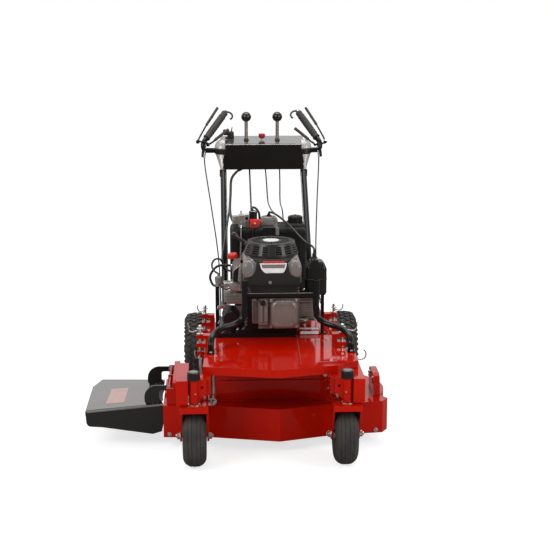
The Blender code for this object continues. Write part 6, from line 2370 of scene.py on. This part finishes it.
# %% Battery
battery = merge(
    block((-0.148, 0.766, 0.3836), (-0.012, 0.85, 0.456), 0.004, 3),
    block((-0.15, 0.764, 0.452), (-0.01, 0.852, 0.468), 0.0035, 3),
    block((-0.154, 0.762, 0.3834), (-0.006, 0.854, 0.392)),
)
keep(battery, "battery", black_plastic)
terminals = bmesh.new()
for x in (-0.134, -0.026):
    merge(
        terminals, bar((x, 0.78, 0.466), (x, 0.78, 0.48), 0.0055, edge=0.0008),
        block((x - 0.009, 0.77, 0.4735), (x + 0.009, 0.792, 0.4765), 0.001, 1),
    )
keep(terminals, "battery_terminals", zinc)
strap = block((-0.09, 0.761, 0.39), (-0.068, 0.855, 0.4705), 0.0012)
keep(strap, "battery_strap", hose_rubber)
red_lead = tube(
    flowing([
        (-0.134, 0.78, 0.48), (-0.136, 0.774, 0.49), (-0.144, 0.758, 0.485), (-0.16, 0.735, 0.47),
        (-0.156, 0.715, 0.47), (-0.118, 0.695, 0.47), (-0.103, 0.69, 0.47),
    ]),
    0.0036,
)
keep(red_lead, "battery_lead", hose_rubber)
print("battery with strap, terminals and lead")

# %% [markdown]
# ## Discharge chute
# The chute is a moulded flap. It drops to lie level with the deck's mouth and can be folded up round the
# hinge pin. The folded front edge is rounded and catches the light.

# %% Chute pan
CHUTE_HINGE = (-0.413, 0.235)
CHUTE_IN, CHUTE_OUT = -0.442, -0.74
CHUTE_FRONT, CHUTE_REAR, CHUTE_TOP = 0.262, 0.595, 0.174
CHUTE_FAR, CHUTE_CORNER = 0.685, 0.59
CHUTE_LIP = -0.4368


def leaning(shape):
    # The pan falls five degrees away from the deck
    pivot = Vector((CHUTE_IN, 0.0, CHUTE_TOP))
    bmesh.ops.rotate(shape, cent=pivot, matrix=Matrix.Rotation(math.radians(-5.0), 3, "Y"), verts=shape.verts)
    return shape


def chute_pan():
    sheet = flat(
        [
            (CHUTE_OUT + 0.006, CHUTE_FRONT), (CHUTE_IN, CHUTE_FRONT), (CHUTE_IN, CHUTE_REAR),
            (CHUTE_OUT + 0.032, CHUTE_FAR), (CHUTE_OUT, CHUTE_CORNER), (CHUTE_OUT, CHUTE_FRONT + 0.012),
        ],
        0.005, at=CHUTE_TOP - 0.005, edge=0.0018, steps=3,
    )
    corner = ring((CHUTE_OUT + 0.018, CHUTE_TOP - 0.045), 0.018, 6, 180, 265, closed=False)
    front = flat(
        [
            (CHUTE_OUT, CHUTE_TOP - 0.002), *corner, (CHUTE_OUT + 0.06, CHUTE_TOP - 0.07),
            (CHUTE_IN - 0.047, CHUTE_TOP - 0.117), (CHUTE_LIP - 0.016, CHUTE_TOP - 0.11),
            (CHUTE_LIP, CHUTE_TOP - 0.06), (CHUTE_LIP, CHUTE_TOP - 0.002),
        ],
        0.005, "XZ", CHUTE_FRONT, edge=0.0016, steps=3,
    )
    side = block(
        (CHUTE_OUT, CHUTE_FRONT + 0.001, CHUTE_TOP - 0.03),
        (CHUTE_OUT + 0.005, CHUTE_CORNER - 0.004, CHUTE_TOP - 0.001), 0.0015,
    )
    merge(sheet, front, side)
    for share in (0.3, 0.62):
        y = CHUTE_FRONT + share * (CHUTE_REAR - CHUTE_FRONT)
        low, high = (CHUTE_OUT + 0.03, y - 0.003, CHUTE_TOP - 0.016), (CHUTE_IN, y + 0.003, CHUTE_TOP - 0.004)
        merge(sheet, block(low, high, 0.001, 1))
    return leaning(sheet)


def chute_skin():
    # The upper side of the pan, a thin glossy sheet that leaves the rolled front edge free; its lighter
    # colour is a painted reflection
    edge = CHUTE_FRONT + 0.0045
    skin = flat(
        [
            (CHUTE_OUT + 0.007, edge + 0.01), (CHUTE_IN - 0.001, edge + 0.01),
            (CHUTE_IN - 0.001, CHUTE_REAR - 0.002), (CHUTE_OUT + 0.033, CHUTE_FAR - 0.003),
            (CHUTE_OUT + 0.002, CHUTE_CORNER), (CHUTE_OUT + 0.002, edge + 0.018),
        ],
        0.0009, at=CHUTE_TOP - 0.0003, edge=0.0003,
    )
    return leaning(skin)


def chute_roll():
    # The rolled fold along the front, in pale plastic: a painted highlight
    edge = CHUTE_FRONT + 0.004
    return leaning(
        bar((CHUTE_OUT + 0.006, edge, CHUTE_TOP - 0.0036), (CHUTE_LIP, edge, CHUTE_TOP - 0.0036), 0.0046)
    )


print("chute is", round(CHUTE_IN - CHUTE_OUT, 3), "m wide")

# %% [markdown]
# Two gooseneck arms carry the chute. Seen from the front, each is a broad sickle made of arcs: a narrow
# neck from the hinge, wide round the bend, with its tip on the pan.

# %% Chute arms
def chute_arm(y):
    hinge_x, hinge_z = CHUTE_HINGE
    outline = ring((hinge_x, hinge_z), 0.0105, 7, -90, 90, closed=False)
    outline += ring((hinge_x - 0.049, hinge_z - 0.0365), 0.0475, 14, 90, 185, closed=False)
    outline += ring((hinge_x - 0.0785, hinge_z - 0.05), 0.0175, 6, 190, 268, closed=False)
    outline += [(hinge_x - 0.028, hinge_z - 0.0625), (hinge_x - 0.0265, hinge_z - 0.059)]
    outline += ring((hinge_x - 0.031, hinge_z - 0.042), 0.008, 4, 250, 180, closed=False)
    outline += ring((hinge_x - 0.031, hinge_z - 0.0185), 0.008, 4, 180, 90, closed=False)
    shape = flat(outline, 0.008, "XZ", y, edge=0.0018, steps=2)
    foot = block(
        (hinge_x - 0.09, y - 0.004, hinge_z - 0.068), (hinge_x - 0.034, y + 0.012, hinge_z - 0.061), 0.0015,
    )
    return merge(shape, foot)


arm_places = (CHUTE_FRONT + 0.014, CHUTE_FRONT + 0.275)
chute = merge(chute_pan(), *[chute_arm(y) for y in arm_places])
keep(chute, "moulded_chute", gloss_black, "chute", ["discharge_chute"])
keep(chute_skin(), "chute_top_painted_sheen", chute_top_sheen, "chute")
keep(chute_roll(), "chute_rolled_edge_highlight", pale_plastic, "chute", slot="black_plastic")
print("chute with", len(arm_places), "arms")

# %% [markdown]
# Small parts finish the chute: the line of its fold, the hinge bolts, the rivets of the arms and a plain
# rose label near the outer edge.

# %% Bolts, rivets and label of the chute
groove = leaning(
    flat(
        [
            (CHUTE_OUT + 0.006, CHUTE_FRONT + 0.008), (CHUTE_LIP, CHUTE_FRONT + 0.008),
            (CHUTE_LIP, CHUTE_FRONT + 0.0145), (CHUTE_OUT + 0.006, CHUTE_FRONT + 0.0145),
        ],
        0.0006, at=CHUTE_TOP - 0.0002, edge=0.0002,
    )
)
keep(groove, "chute_fold_line", deep_black, "chute")
pivot_bolts = [((CHUTE_HINGE[0], y - 0.0002, CHUTE_HINGE[1]), (0, -1, 0)) for y in arm_places]
bolts = heads(pivot_bolts, radius=0.007, height=0.0045)
keep(bolts, "chute_pivot_bolts", bright_alloy, "chute", slot="zinc_steel")
foot_rivets = []
for y in arm_places:
    foot_rivets += [
        ((CHUTE_HINGE[0] - 0.062, y + 0.004, 0.1738), (0.05, 0, 1)),
        ((CHUTE_HINGE[0] - 0.046, y + 0.004, 0.175), (0.05, 0, 1)),
    ]
keep(heads(foot_rivets, radius=0.0042, height=0.003), "chute_rivets", dark_steel, "chute")
sticker = leaning(
    flat(
        [(-0.665, 0.335), (-0.592, 0.333), (-0.588, 0.523), (-0.656, 0.53)], 0.0005, at=CHUTE_TOP + 0.0007,
        edge=0.0001,
    )
)
keep(sticker, "bare_chute_label", rose_label, "chute")
print(len(made_pieces), "pieces in all")

# %% [markdown]
# ## The rest
# Some nodes of the frame stay as they are, such as the blades and the pulleys. Each takes the first
# finish of its material slot in the record.

# %% Carried-over nodes
slots_of = {row["node"]: row["material_slot"] for row in frame["record"]["subparts"]}
for name, node in nodes.items():
    node.data.materials.clear()
    node.data.materials.append(FINISHES_OF[slots_of[name]][0])
print("finished the carried-over nodes")
